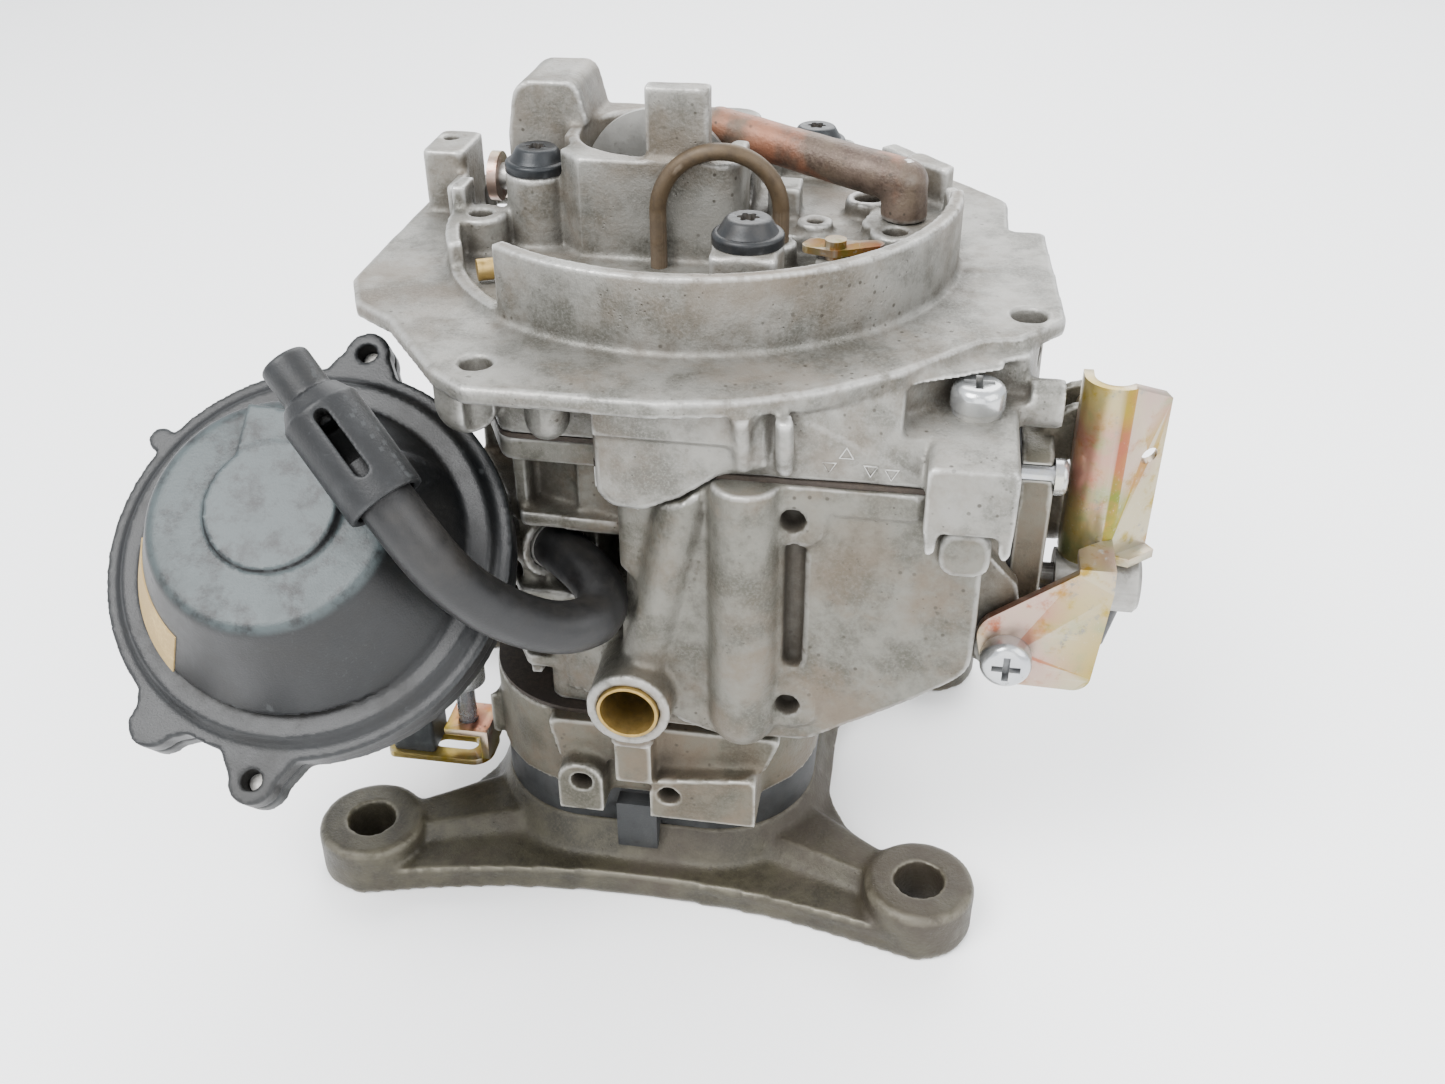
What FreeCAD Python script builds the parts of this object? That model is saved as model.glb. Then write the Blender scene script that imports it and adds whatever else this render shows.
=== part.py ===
import FreeCAD, Part
import os
from math import cos, pi, radians, sin, tan

# Two-barrel downdraft carburetor on its insulator and four-eared base.
# Frame in millimetres: origin at the centre of the base's stud pattern, on its underside,
# +X right along the front ears, -Y to the fuel inlet side, +Z up.

V = FreeCAD.Vector
X, Y, Z = V(1, 0, 0), V(0, 1, 0), V(0, 0, 1)

# ---- driving dimensions ----
STUD_X, STUD_Y = 54.0, 40.0          # half pitch of the stud holes
STUD_R, EAR_R = 4.5, 10.5            # stud hole and ear radius
EAR_TOP, PLATE_TOP, BASE_TOP = 10.5, 5.6, 12.5
WAIST_X, FRONT_Y = 33.0, 43.0        # base outline at mid side and mid front
RISER_X, RISER_Y, RISER_R = 31.5, 35.0, 20.0
GASKET = 0.8
INSULATOR_Z = (BASE_TOP, 21.0)
THROTTLE_TOP = 39.0
BODY_Z = (THROTTLE_TOP + GASKET, 97.0)
HORN_Z = (BODY_Z[1] + GASKET, 113.0)  # underside of the horn and top of its flange
FLANGE_T = 3.0
BORE_X, BORE_Y, BORE_R = 15.0, 18.0, 13.0
BASE_BORE_R, INSULATOR_BORE_R = 13.5, 14.0
RING_C, RING_R, RING_T, RING_TOP = V(5, 11.6, 0), 46.4, 2.6, 126.0
CHOKE_X, CHOKE_Y, CHOKE_Z, CHOKE_R = -5.0, 22.0, 121.0, 14.6
CRANK_R, CRANK_ANGLE = 8.0, -30.0     # choke lever and fast idle cam share this crank
CAM_Z = 60.0
THROTTLE_Z, SHAFT_R = 30.0, 4.0
RUNNING = 0.05                       # radial clearance of a shaft in its hole
FRONT = -44.0                        # front face of the float bowl
INLET = V(1.5, -50.0, 52.8)          # mouth of the fuel inlet
INLET_R = 4.75
FLOAT_PIN = V(6, 0, 84)
NEEDLE_X, NEEDLE_Y = 10.5, -26.0
PUMP = V(63, -12, 78)                # centre of the pump diaphragm
PUMP_R = 17.0
PUMP_PIVOT = V(76, -12, 97)
COVER_C = V(-53.1, -46.0, 76.1)      # centre of the thermostat cover's rim
COVER_N = V(0.04, -0.63, 0.775)      # the cover's axis, outwards
COVER_N.normalize()
COVER_R = 34.6
HORN_SCREWS = [(17.2, -18.1, 126.0), (-25.9, 12.9, 125.8), (21.7, 49.5, 121.0), (-20.0, 47.0, 119.0)]
M5_R, M4_R = 2.5, 2.0
BRACKET_SCREW = V(64.6, -36.0, 61.8)
SOLENOID = V(86.6, -21.8, 69.4)       # right end of the cut-off solenoid
CORNER_SCREW = V(55.6, -28.6, 104.0)
HOSE_R = 4.4
HOSE_ROUTE = [
    (-34.7, -61.0, 104.5), (-27.0, -65.3, 96.9), (-22.2, -63.4, 87.0), (-16.4, -59.0, 78.2),
    (-9.2, -53.8, 71.9), (-3.4, -48.4, 70.2), (-3.2, -42.4, 71.6), (-8.6, -35.6, 72.4), (-15.4, -29.0, 72.0),
]


# ---- helpers ----
def box(x0, y0, z0, x1, y1, z1):
    return Part.makeBox(x1 - x0, y1 - y0, z1 - z0, V(x0, y0, z0))


def rod(start, end, radius, end_radius=None):
    axis = end - start
    if end_radius is None:
        return Part.makeCylinder(radius, axis.Length, start, axis)
    return Part.makeCone(radius, end_radius, axis.Length, start, axis)


def post(x, y, z0, z1, radius):
    return rod(V(x, y, z0), V(x, y, z1), radius)


def tube(start, end, outer, inner):
    return rod(start, end, outer).cut(rod(start, end, inner))


def join(shapes):
    whole = shapes[0]
    for shape in shapes[1:]:
        whole = whole.fuse(shape)
    return whole.removeSplitter()


def outline(corners, at=lambda a, b: V(a, b, 0)):
    """Closed wire through corners (a, b, radius), each rounded by its radius."""
    edges = []
    ends = []
    count = len(corners)
    for i, (a, b, radius) in enumerate(corners):
        here = V(a, b, 0)
        before = V(*corners[i - 1][:2], 0)
        after = V(*corners[(i + 1) % count][:2], 0)
        back = (before - here).normalize()
        ahead = (after - here).normalize()
        half = back.getAngle(ahead) / 2
        if radius <= 0:
            ends.append((here, here, here))
            continue
        reach = radius / tan(half)
        middle = (back + ahead).normalize() * (radius / sin(half) - radius)
        ends.append((here + back * reach, here + middle, here + ahead * reach))
    for i, (first, middle, last) in enumerate(ends):
        if (first - last).Length > 1e-6:
            edges.append(Part.Arc(at(first.x, first.y), at(middle.x, middle.y), at(last.x, last.y)).toShape())
        following = ends[(i + 1) % count][0]
        if (following - last).Length > 1e-4:
            edges.append(Part.LineSegment(at(last.x, last.y), at(following.x, following.y)).toShape())
    return Part.Wire(edges)


def slab(corners, z0, z1):
    """Outline in plan, from z0 up to z1."""
    return Part.Face(outline(corners, lambda a, b: V(a, b, z0))).extrude(Z * (z1 - z0))


def slab_y(corners, y0, y1):
    """Outline in X and Z, from y0 to y1."""
    return Part.Face(outline(corners, lambda a, b: V(a, y0, b))).extrude(Y * (y1 - y0))


def slab_x(corners, x0, x1):
    """Outline in Y and Z, from x0 to x1."""
    return Part.Face(outline(corners, lambda a, b: V(x0, a, b))).extrude(X * (x1 - x0))


def rectangle(a0, b0, a1, b1, radius):
    return [(a0, b0, radius), (a1, b0, radius), (a1, b1, radius), (a0, b1, radius)]


def rounded(shape, radius, low=None, high=None):
    """Fillet the edges whose middles lie between two heights."""
    picked = []
    for edge in shape.Edges:
        centre = edge.CenterOfMass
        if low <= centre.z <= high and edge.BoundBox.ZLength < 0.01:
            picked.append(edge)
    return shape.makeFillet(radius, picked)


def arc_wall(centre, outer, inner, z0, z1, start, stop):
    """Part of a ring wall between two bearings in degrees."""
    wall = Part.makeCylinder(outer, z1 - z0, V(centre.x, centre.y, z0), Z, stop - start)
    wall = wall.cut(Part.makeCylinder(inner, z1 - z0, V(centre.x, centre.y, z0), Z, 360))
    wall.rotate(centre, Z, start)
    return wall


def helix_spring(start, axis, radius, wire, length, turns):
    """Coil spring along an axis from a point."""
    helix = Part.makeHelix(length / turns, length, radius)
    section = Part.Wire(Part.makeCircle(wire, V(radius, 0, 0), Y))
    coil = Part.Wire(helix).makePipeShell([section], True, True)
    coil.Placement = FreeCAD.Placement(start, FreeCAD.Rotation(Z, axis))
    return coil


def bent_rod(points, radius, bend):
    """Round wire through points, with tangent bends."""
    edges = []
    here = points[0]
    for i in range(1, len(points) - 1):
        back = (points[i - 1] - points[i]).normalize()
        ahead = (points[i + 1] - points[i]).normalize()
        half = back.getAngle(ahead) / 2
        reach = bend / tan(half)
        first = points[i] + back * reach
        last = points[i] + ahead * reach
        middle = points[i] + (back + ahead).normalize() * (bend / sin(half) - bend)
        edges.append(Part.LineSegment(here, first).toShape())
        edges.append(Part.Arc(first, middle, last).toShape())
        here = last
    edges.append(Part.LineSegment(here, points[-1]).toShape())
    path = Part.Wire(edges)
    section = Part.Wire(Part.makeCircle(radius, points[0], points[1] - points[0]))
    return path.makePipeShell([section], True, False)


def write(name, shape):
    """Write a node's solids to its own file."""
    solids = shape.Solids
    if not solids or not all(solid.isValid() for solid in solids):
        raise ValueError("bad solid in " + name)
    whole = solids[0] if len(solids) == 1 else Part.makeCompound(solids)
    whole.exportStep("parts/" + name + ".step")
    print(name, len(solids), round(whole.Volume))


def cross_slot(centre, axis, across, wide, deep):
    """Cross recess cut into a screw head from its top."""
    turn = FreeCAD.Rotation(Z, axis)
    cuts = []
    for angle in (0, 90):
        arm = Part.makeBox(across, wide, deep, V(-across / 2, -wide / 2, -deep))
        arm.rotate(V(0, 0, 0), Z, angle)
        cuts.append(arm)
    slot = join(cuts)
    slot.Placement = FreeCAD.Placement(centre, turn)
    return slot


def pan_screw(seat, axis, head_r, head_h, shank_r, length):
    """Screw with a rounded head above its seat and its shank below."""
    head = rod(seat, seat + axis * head_h, head_r)
    top = [edge for edge in head.Edges if (edge.CenterOfMass - seat).dot(axis) > head_h - 0.01
           and len(edge.Vertexes) == 1]
    head = head.makeFillet(head_h * 0.45, top)
    head = head.cut(cross_slot(seat + axis * head_h, axis, head_r * 1.1, head_r * 0.26, head_h * 0.55))
    return head.fuse(rod(seat, seat - axis * length, shank_r))


# ---- base, insulator and throttle body ----
def riser_outline(grow):
    return rectangle(-RISER_X - grow, -RISER_Y - grow, RISER_X + grow, RISER_Y + grow, RISER_R + grow)


def base_plate(inset, z0, z1):
    """Four-eared plate with hollow sides, drawn inside the outer edge by inset."""
    ear = EAR_R - inset
    front = radians(-98)
    side = radians(133)
    px, py = STUD_X + ear * cos(front), -STUD_Y + ear * sin(front)
    qx, qy = STUD_X + ear * cos(side), -STUD_Y + ear * sin(side)
    ex, ey = STUD_X + ear * cos(radians(-20)), -STUD_Y + ear * sin(radians(-20))
    mx, my = WAIST_X - inset, FRONT_Y - inset

    def arc(a, b, c):
        return Part.Arc(V(*a, z0), V(*b, z0), V(*c, z0)).toShape()

    edges = [
        arc((-px, py), (0, -my), (px, py)), arc((px, py), (ex, ey), (qx, qy)),
        arc((qx, qy), (mx, 0), (qx, -qy)), arc((qx, -qy), (ex, -ey), (px, -py)),
        arc((px, -py), (0, my), (-px, -py)), arc((-px, -py), (-ex, -ey), (-qx, -qy)),
        arc((-qx, -qy), (-mx, 0), (-qx, qy)), arc((-qx, qy), (-ex, ey), (-px, py)),
    ]
    return Part.Face(Part.Wire(edges)).extrude(Z * (z1 - z0))


def barrels(radius, z0, z1):
    return join([post(side * BORE_X, BORE_Y, z0, z1, radius) for side in (-1, 1)])


def stud_places():
    return [(x, y) for x in (-STUD_X, STUD_X) for y in (-STUD_Y, STUD_Y)]


def base_flange():
    pieces = [base_plate(0, 0, 2.4), base_plate(0.7, 2.4, 3.2), base_plate(0, 3.2, PLATE_TOP)]
    foot = outline(riser_outline(3.6), lambda a, b: V(a, b, PLATE_TOP))
    head = outline(riser_outline(0), lambda a, b: V(a, b, BASE_TOP))
    pieces.append(Part.makeLoft([foot, head], True, True))
    for x, y in stud_places():
        ear = rounded(post(x, y, 0, EAR_TOP, EAR_R), 1.4, EAR_TOP - 0.1, EAR_TOP + 0.1)
        pieces.append(ear)
        side_x, side_y = x / abs(x), y / abs(y)
        inner = V(side_x * 19, side_y * 22, 0)
        reach = V(x, y, 0) - inner
        along = V(reach.x, reach.y, 0).normalize()
        across = V(-along.y, along.x, 0)
        length = reach.Length - EAR_R + 1.2
        low = [inner + across * 12, inner + across * -12, inner + along * length + across * -6.4,
               inner + along * length + across * 6.4]
        high = [inner + across * 7, inner + across * -7, inner + along * length + across * -3.2,
                inner + along * length + across * 3.2]
        foot = Part.makePolygon([p + Z * (PLATE_TOP - 1) for p in low + [low[0]]])
        head = Part.makePolygon([p + Z * (EAR_TOP - 1.2) for p in high + [high[0]]])
        pieces.append(Part.makeLoft([foot, head], True, True))
    whole = join(pieces)
    cuts = [post(x, y, -1, EAR_TOP + 1, STUD_R) for x, y in stud_places()]
    cuts.append(barrels(BASE_BORE_R, -1, BASE_TOP + 1))
    return whole.cut(join_all(cuts))


def join_all(shapes):
    """One cutting tool from many shapes."""
    return shapes[0].multiFuse(shapes[1:])


def insulator():
    block = slab(riser_outline(0), *INSULATOR_Z)
    tab = box(-4.4, -RISER_Y - 3.4, 9.0, 3.4, -RISER_Y + 2, 20.0)
    tab = tab.cut(box(-5, -RISER_Y, 8.0, 4, -RISER_Y + 3, INSULATOR_Z[0]))
    riser = outline(riser_outline(3.9), lambda a, b: V(a, b, PLATE_TOP - 0.1))
    crown = outline(riser_outline(0.3), lambda a, b: V(a, b, BASE_TOP + 0.1))
    tab = tab.cut(Part.makeLoft([riser, crown], True, True))
    return join([block, tab]).cut(barrels(INSULATOR_BORE_R, BASE_TOP - 1, INSULATOR_Z[1] + 1))


def throttle_body():
    z0, z1 = INSULATOR_Z[1], THROTTLE_TOP
    pieces = [slab(riser_outline(0.6), z0, z1)]
    pieces.append(slab_y([(-14.6, 21, 0), (-5.8, 21, 0), (-5.8, 32, 4), (-14.6, 32, 4)], -42, -28))
    pieces.append(slab_y([(3.0, 21, 0), (22.8, 21, 0), (22.8, 32.4, 1), (3.0, 30, 3)], -42, -28))
    pieces.append(slab_y([(-15, 30, 1), (24, 31, 1), (27, 39, 1), (-17, 39, 1)], -38, -26))
    pieces.append(box(-3.2, -42.8, 29.5, 3.6, -30, THROTTLE_TOP))
    for side in (-1, 1):
        pieces.append(rod(V(side * 28, BORE_Y, THROTTLE_Z), V(side * 34.4, BORE_Y, THROTTLE_Z), 7.5))
    # left lug that carries the small bracket, and the idle stop lug on the right
    pieces.append(slab([(-45, -25, 2), (-33, -23, 1), (-24, -6, 3), (-24, -25, 2)], 21, 31))
    pieces.append(slab_x([(-2.5, 22, 1), (3.5, 22, 1), (3.5, 47, 2.5), (-2.5, 47, 2.5)], 34.8, 41.5))
    pieces.append(box(28, -2.5, 22, 38, 3.5, 38))
    # mixture screw boss at the rear
    pieces.append(rod(V(-16, 37.4, 27), V(-16, 30, 27), 5))
    whole = join(pieces)
    cuts = [barrels(BORE_R, z0 - 1, z1 + 1)]
    cuts.append(rod(V(-50, BORE_Y, THROTTLE_Z), V(50, BORE_Y, THROTTLE_Z), SHAFT_R + RUNNING))
    cuts.append(rod(V(-9.9, -43, 28), V(-9.9, -34, 28), M4_R))
    cuts.append(rod(V(6.6, -43, 26.6), V(6.6, -34, 26.6), M4_R))
    cuts.append(rod(V(-16, 39, 27), V(-16, 32.4, 27), 2.1))
    cuts.append(rod(V(-16, 33, 27), V(-16, 20, 27), 1.0))
    cuts.append(rod(V(38.5, -3.5, 42), V(38.5, 4.5, 42), 2.1))
    cuts.append(post(-39.5, -19.5, 20, 32, M4_R))
    return whole.cut(join_all(cuts))


def throttle_gasket():
    plate = slab(riser_outline(0.3), THROTTLE_TOP, BODY_Z[0])
    return plate.cut(barrels(BORE_R + 0.6, THROTTLE_TOP - 1, BODY_Z[0] + 1))


# ---- main body with the float bowl ----
BOWL_FRONT = [
    (8, 97, 0), (8, 47, 3), (16, 44.5, 3), (32, 45.2, 6), (50, 56.5, 6), (58.6, 63, 7), (58.6, 97, 0),
]


def body_top_outline():
    return [(-33, -12, 4), (-21, -36, 3), (-4, -36, 0), (-4, FRONT, 2), (58.6, FRONT, 2), (60.5, -4, 4), (40, 8, 4),
            (36, 40, 6), (25, 56, 6), (-25, 56, 6), (-33, 38, 6)]


def main_body():
    low, high = BODY_Z
    pieces = [slab_y(BOWL_FRONT, FRONT, -4)]
    pieces.append(slab(rectangle(-33, -8, 34, 38, 10), low, high))
    pieces.append(slab([(-1, -41.8, 2), (12, -41.8, 0), (12, -4, 0), (-1, -4, 0)], 44, high))
    pieces.append(slab([(-17, -33, 3), (24, -36, 3), (27, -6, 0), (-20, -6, 0)], low, 52))
    # top rim that the air horn sits on
    pieces.append(slab(body_top_outline(), high - 4.5, high))
    # right front column, leaning rib and fuel inlet boss
    pieces.append(post(20.6, FRONT + 0.6, 50, high, 5.8))
    pieces.append(Part.makeSphere(5.8, V(20.6, FRONT + 0.6, 50)))
    pieces.append(rod(V(11.4, -41.6, 95), V(3.2, -41.6, 58), 4.3))
    pieces.append(rod(V(INLET.x, -30, INLET.z), INLET, 7.4))
    pieces.append(slab([(-3.4, -45, 1.5), (4.4, -45, 1.5), (4.4, -30, 0), (-3.4, -30, 0)], low, INLET.z))
    # pads of the two tapped holes beside the slot
    for z in (90.6, 53.4):
        pieces.append(slab_y(rectangle(23.5, z - 4.6, 33.6, z + 4.6, 3.6), FRONT - 1, FRONT + 2))
    # ridge line round the flat front face
    pieces.append(slab_y(rectangle(25, 92.3, 48, 97, 0.8), FRONT - 0.7, FRONT + 1))
    # tongue under the corner lug
    pieces.append(slab_y(rectangle(51.4, 84.2, 59.4, 92.2, 2.6), FRONT - 3.0, FRONT + 4))
    # bracket screw boss and the diagonal shelf beside the bowl
    pieces.append(rod(BRACKET_SCREW + Y * 1.7, BRACKET_SCREW + Y * 6.6, 5.4))
    pieces.append(slab_y([(52, 60, 0), (64, 57.2, 2), (67, 62, 2), (65.5, 74, 2), (56, 84, 0)], -33, -29.4))
    # pump chamber wall on the right
    pieces.append(slab_x(rectangle(PUMP.y - PUMP_R, PUMP.z - PUMP_R, PUMP.y + PUMP_R, PUMP.z + PUMP_R, 8), 54, PUMP.x))
    # left side: ribs from the barrels out to the thermostat's foot
    for z in (47, 62, 78):
        pieces.append(slab([(-33, -12, 2), (-21, -33, 2), (-2, -34, 0), (-2, -4, 0), (-33, -4, 0)], z, z + 2.6))
    for x, y in ((-31, -13), (-20, -31), (-9, -31)):
        pieces.append(box(x - 1.3, y, 44, x + 1.3, -4, 96))
    pieces.append(slab([(-14, -34, 2), (-2, -38, 2), (-2, -6, 0), (-14, -6, 0)], 44, 60))
    pieces.append(slab([(-22, -25, 2), (-1, -33, 0), (-1, -4, 0), (-22, -4, 0)], 80, 96))
    # fast idle cam boss and idle stop boss
    pieces.append(rod(V(-30, CHOKE_Y, CAM_Z), V(-34.2, CHOKE_Y, CAM_Z), 5))
    for x, y, _ in HORN_SCREWS[1:]:
        pieces.append(post(x, y, high - 22, high, 5.4))
    whole = join(pieces)
    for room in thermostat_room() + hose_channel():
        whole = whole.cut(room)
    for piece in thermostat_foot() + [rod(HOSE_END, HOSE_END + HOSE_IN * 12, 6.4)]:
        whole = whole.fuse(piece)

    cuts = []
    for side in (-1, 1):
        x = side * BORE_X
        cuts.append(post(x, BORE_Y, low - 1, 50, BORE_R))
        cuts.append(rod(V(x, BORE_Y, 49.9), V(x, BORE_Y, 66), BORE_R, 9.8))
        cuts.append(rod(V(x, BORE_Y, 65.9), V(x, BORE_Y, 84), 9.8, BORE_R))
        cuts.append(post(x, BORE_Y, 83.9, high + 1, BORE_R))
    cuts.append(slab(rectangle(2.5, -39.5, 54.0, -9, 4), 62, high + 1))
    cuts.append(slab(rectangle(12, -39.5, 36.0, -9, 4), 52, 63))
    cuts.append(slab_y([(27.2, 61, 1.4), (30.4, 61, 1.4), (30.4, 86.2, 1.4), (27.2, 86.2, 1.4)], FRONT - 3, FRONT + 3.8))
    for z in (90.6, 53.4):
        cuts.append(rod(V(28.3, FRONT - 3, z), V(28.3, FRONT + 3.9, z), M4_R + 0.1))
    cuts.append(rod(INLET - Y * 2, INLET + Y * 12.5, 5.4))
    cuts.append(rod(INLET + Y * 12, INLET + Y * 24, 3.0))
    cuts.append(rod(V(3.0, -29, 52.8), V(8.6, -29, 80), 2.0))
    cuts.append(rod(BRACKET_SCREW, BRACKET_SCREW + Y * 9, M5_R))
    cuts.append(slab_y(lobe_outline(0.3), -60, FRONT + 2.4))
    cuts.append(rod(V(56.5, PUMP.y, PUMP.z), V(PUMP.x + 1, PUMP.y, PUMP.z), 11))
    cuts.append(rod(V(-40, CHOKE_Y, CAM_Z), V(-29.5, CHOKE_Y, CAM_Z), M4_R))
    for x, y, _ in HORN_SCREWS[1:]:
        cuts.append(post(x, y, high - 18, high + 1, M5_R))
    for x in (16, 30):
        cuts.append(post(x, -24, 47, 53, 2.5))
    cuts.append(thermostat_bore())
    cuts.append(hose_port_bore())
    return whole.cut(join_all(cuts))


def cover_point(right, up, out):
    """Point given in the thermostat cover's own right, up and outward directions."""
    side = Y.cross(Z) - COVER_N * COVER_N.x
    side.normalize()
    rise = COVER_N.cross(side)
    return COVER_C + side * right + rise * up + COVER_N * out


FOOT_OUT = -20.0                     # back of the thermostat housing along the cover's axis
THERMO_SHAFT_R = 2.5


def thermostat_foot():
    """Round pad behind the thermostat housing, with webs to the body."""
    pieces = [rod(cover_point(0, 0, FOOT_OUT - 5), cover_point(0, 0, FOOT_OUT), 17)]
    webs = [(V(-26, -8, 78), 9, 9, 3.0), (V(-26, -14, 64), 12, 1, 4.2), (V(-26, -18, 49), 11, -8, 3.2)]
    for target, right, up, radius in webs:
        web = rod(cover_point(right, up, FOOT_OUT - 3.4), target, radius)
        pieces.append(web.cut(rod(cover_point(0, 0, FOOT_OUT), cover_point(0, 0, 0), 36)))
    return pieces


def thermostat_room():
    """Space round the thermostat housing and cover that the body leaves free."""
    return [rod(cover_point(0, 0, FOOT_OUT), cover_point(0, 0, -6), 27.8, 32), rod(
        cover_point(0, 0, -6.8), cover_point(0, 0, 30), COVER_R + 0.9)]


def hose_channel():
    """Space that the body leaves free round the hose's last stretch."""
    points = [V(*place) for place in HOSE_ROUTE]
    tools = []
    for start, end in zip(points[3:-1], points[4:]):
        tools.append(rod(start, end, HOSE_R + 1.4))
        tools.append(Part.makeSphere(HOSE_R + 1.4, start))
    return tools


def thermostat_bore():
    return rod(cover_point(0, 0, FOOT_OUT - 14), cover_point(0, 0, FOOT_OUT + 4), THERMO_SHAFT_R + RUNNING)


HOSE_END = V(*HOSE_ROUTE[-1])
HOSE_IN = (HOSE_END - V(*HOSE_ROUTE[-2])).normalize()


def hose_port_bore():
    return rod(HOSE_END - HOSE_IN * 1, HOSE_END + HOSE_IN * 12, HOSE_R + 0.3)


# ---- air horn ----
def lobe_outline(grow):
    """Rounded lobe of the horn that hangs over the body's front, in X and Z."""
    return [(-3.2 - grow, 111, 0), (-3.2 - grow, 91.2 - grow, 4), (4, 90.4 - grow, 3), (10.6 + grow, 93.4 - grow, 6),
            (17, 98.2 - grow, 5), (24, 100 - grow, 0), (24, 111, 0)]


FLANGE = [
    (-53.6, -12.2, 1), (-49.4, -21.6, 1), (-45.4, -24.6, 1), (-41.4, -27.5, 1), (-28.2, -45.2, 5), (-22.0, -50.2, 3),
    (-6.5, -50.4, 8), (8.5, -50.6, 25), (20.6, -48.2, 25), (32.2, -43.0, 25), (43.6, -34.6, 10), (55.9, -21.2, 4),
    (61.9, -19.5, 2), (69.6, -10.6, 4), (67.3, 29.2, 1), (60.8, 29.3, 2), (60.8, 46, 6), (46, 62, 8),
    (20, 68, 12), (-24, 68, 12), (-45, 56, 6), (-50.5, 34.0, 2), (-53.6, 31.0, 2),
]


def horn_shell():
    low, top = HORN_Z
    under = top - FLANGE_T
    pieces = [slab(FLANGE, under, top)]
    facet = V(149.5, -276, 312).normalize()
    middle = V(44, -40, 105.5)
    middle = middle + facet * (V(24, FRONT, 111) - middle).dot(facet)
    pieces.append(slab(body_top_outline(), low, under + 1).cut(rod(middle, middle + facet * 40, 60)))
    # rounded lobe that hangs over the body's front, and the two small ribs
    lobe = slab_y(lobe_outline(0), FRONT - 1.2, FRONT + 2.2)
    pieces.append(lobe)
    for x in (20.4, 26.9):
        pieces.append(rod(V(x, FRONT - 0.6, 100.4), V(x, FRONT - 3.4, under), 1.5))
        pieces.append(Part.makeSphere(1.5, V(x, FRONT - 0.6, 100.4)))
    pieces.append(slab_y([(-3.2, 104, 0), (20, 104, 0), (24, 111, 0), (-3.2, 111, 0)], FRONT - 2.4, FRONT + 1))
    # bosses under the front left of the flange
    pieces.append(post(-25.6, -37.6, 104, under, 5.2))
    pieces.append(Part.makeSphere(5.2, V(-25.6, -37.6, 104)))
    pieces.append(post(-11.5, -40.5, 103.5, under, 3.6))
    pieces.append(Part.makeSphere(3.6, V(-11.5, -40.5, 103.7)))
    pieces.append(slab([(-26, -42, 1), (-16, -42, 1), (-16, -34, 0), (-26, -34, 0)], 106, under))
    # right front corner: ledge, block with two legs, and the wall behind it
    pieces.append(slab_y([(48.6, 104, 1.2), (62.4, 104, 1.2), (62.4, low, 0), (48.6, low, 0)], FRONT - 4.2, -22))
    pieces.append(box(48.6, FRONT - 4.2, 92.6, 62.4, FRONT - 0.3, low))
    pieces.append(box(59.3, FRONT - 4.2, 92.6, 62.4, -30, low))
    for x in (48.6, 60.0):
        pieces.append(slab_y([(x, 94, 0), (x + 2.4, 94, 0), (x + 2.0, 88.6, 0.8), (x + 0.4, 88.6, 0.8)],
                             FRONT - 4.2, FRONT - 1.4))
    pieces.append(slab([(58.6, -24, 0), (63.6, -21, 1), (66.5, -8, 2), (66.5, 27, 2), (60, 27, 0), (56, -10, 0)], low, under + 1))
    pieces.append(rod(V(60, -22, 103), V(69.6, -22, 103), 4.0))
    return pieces


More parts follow.
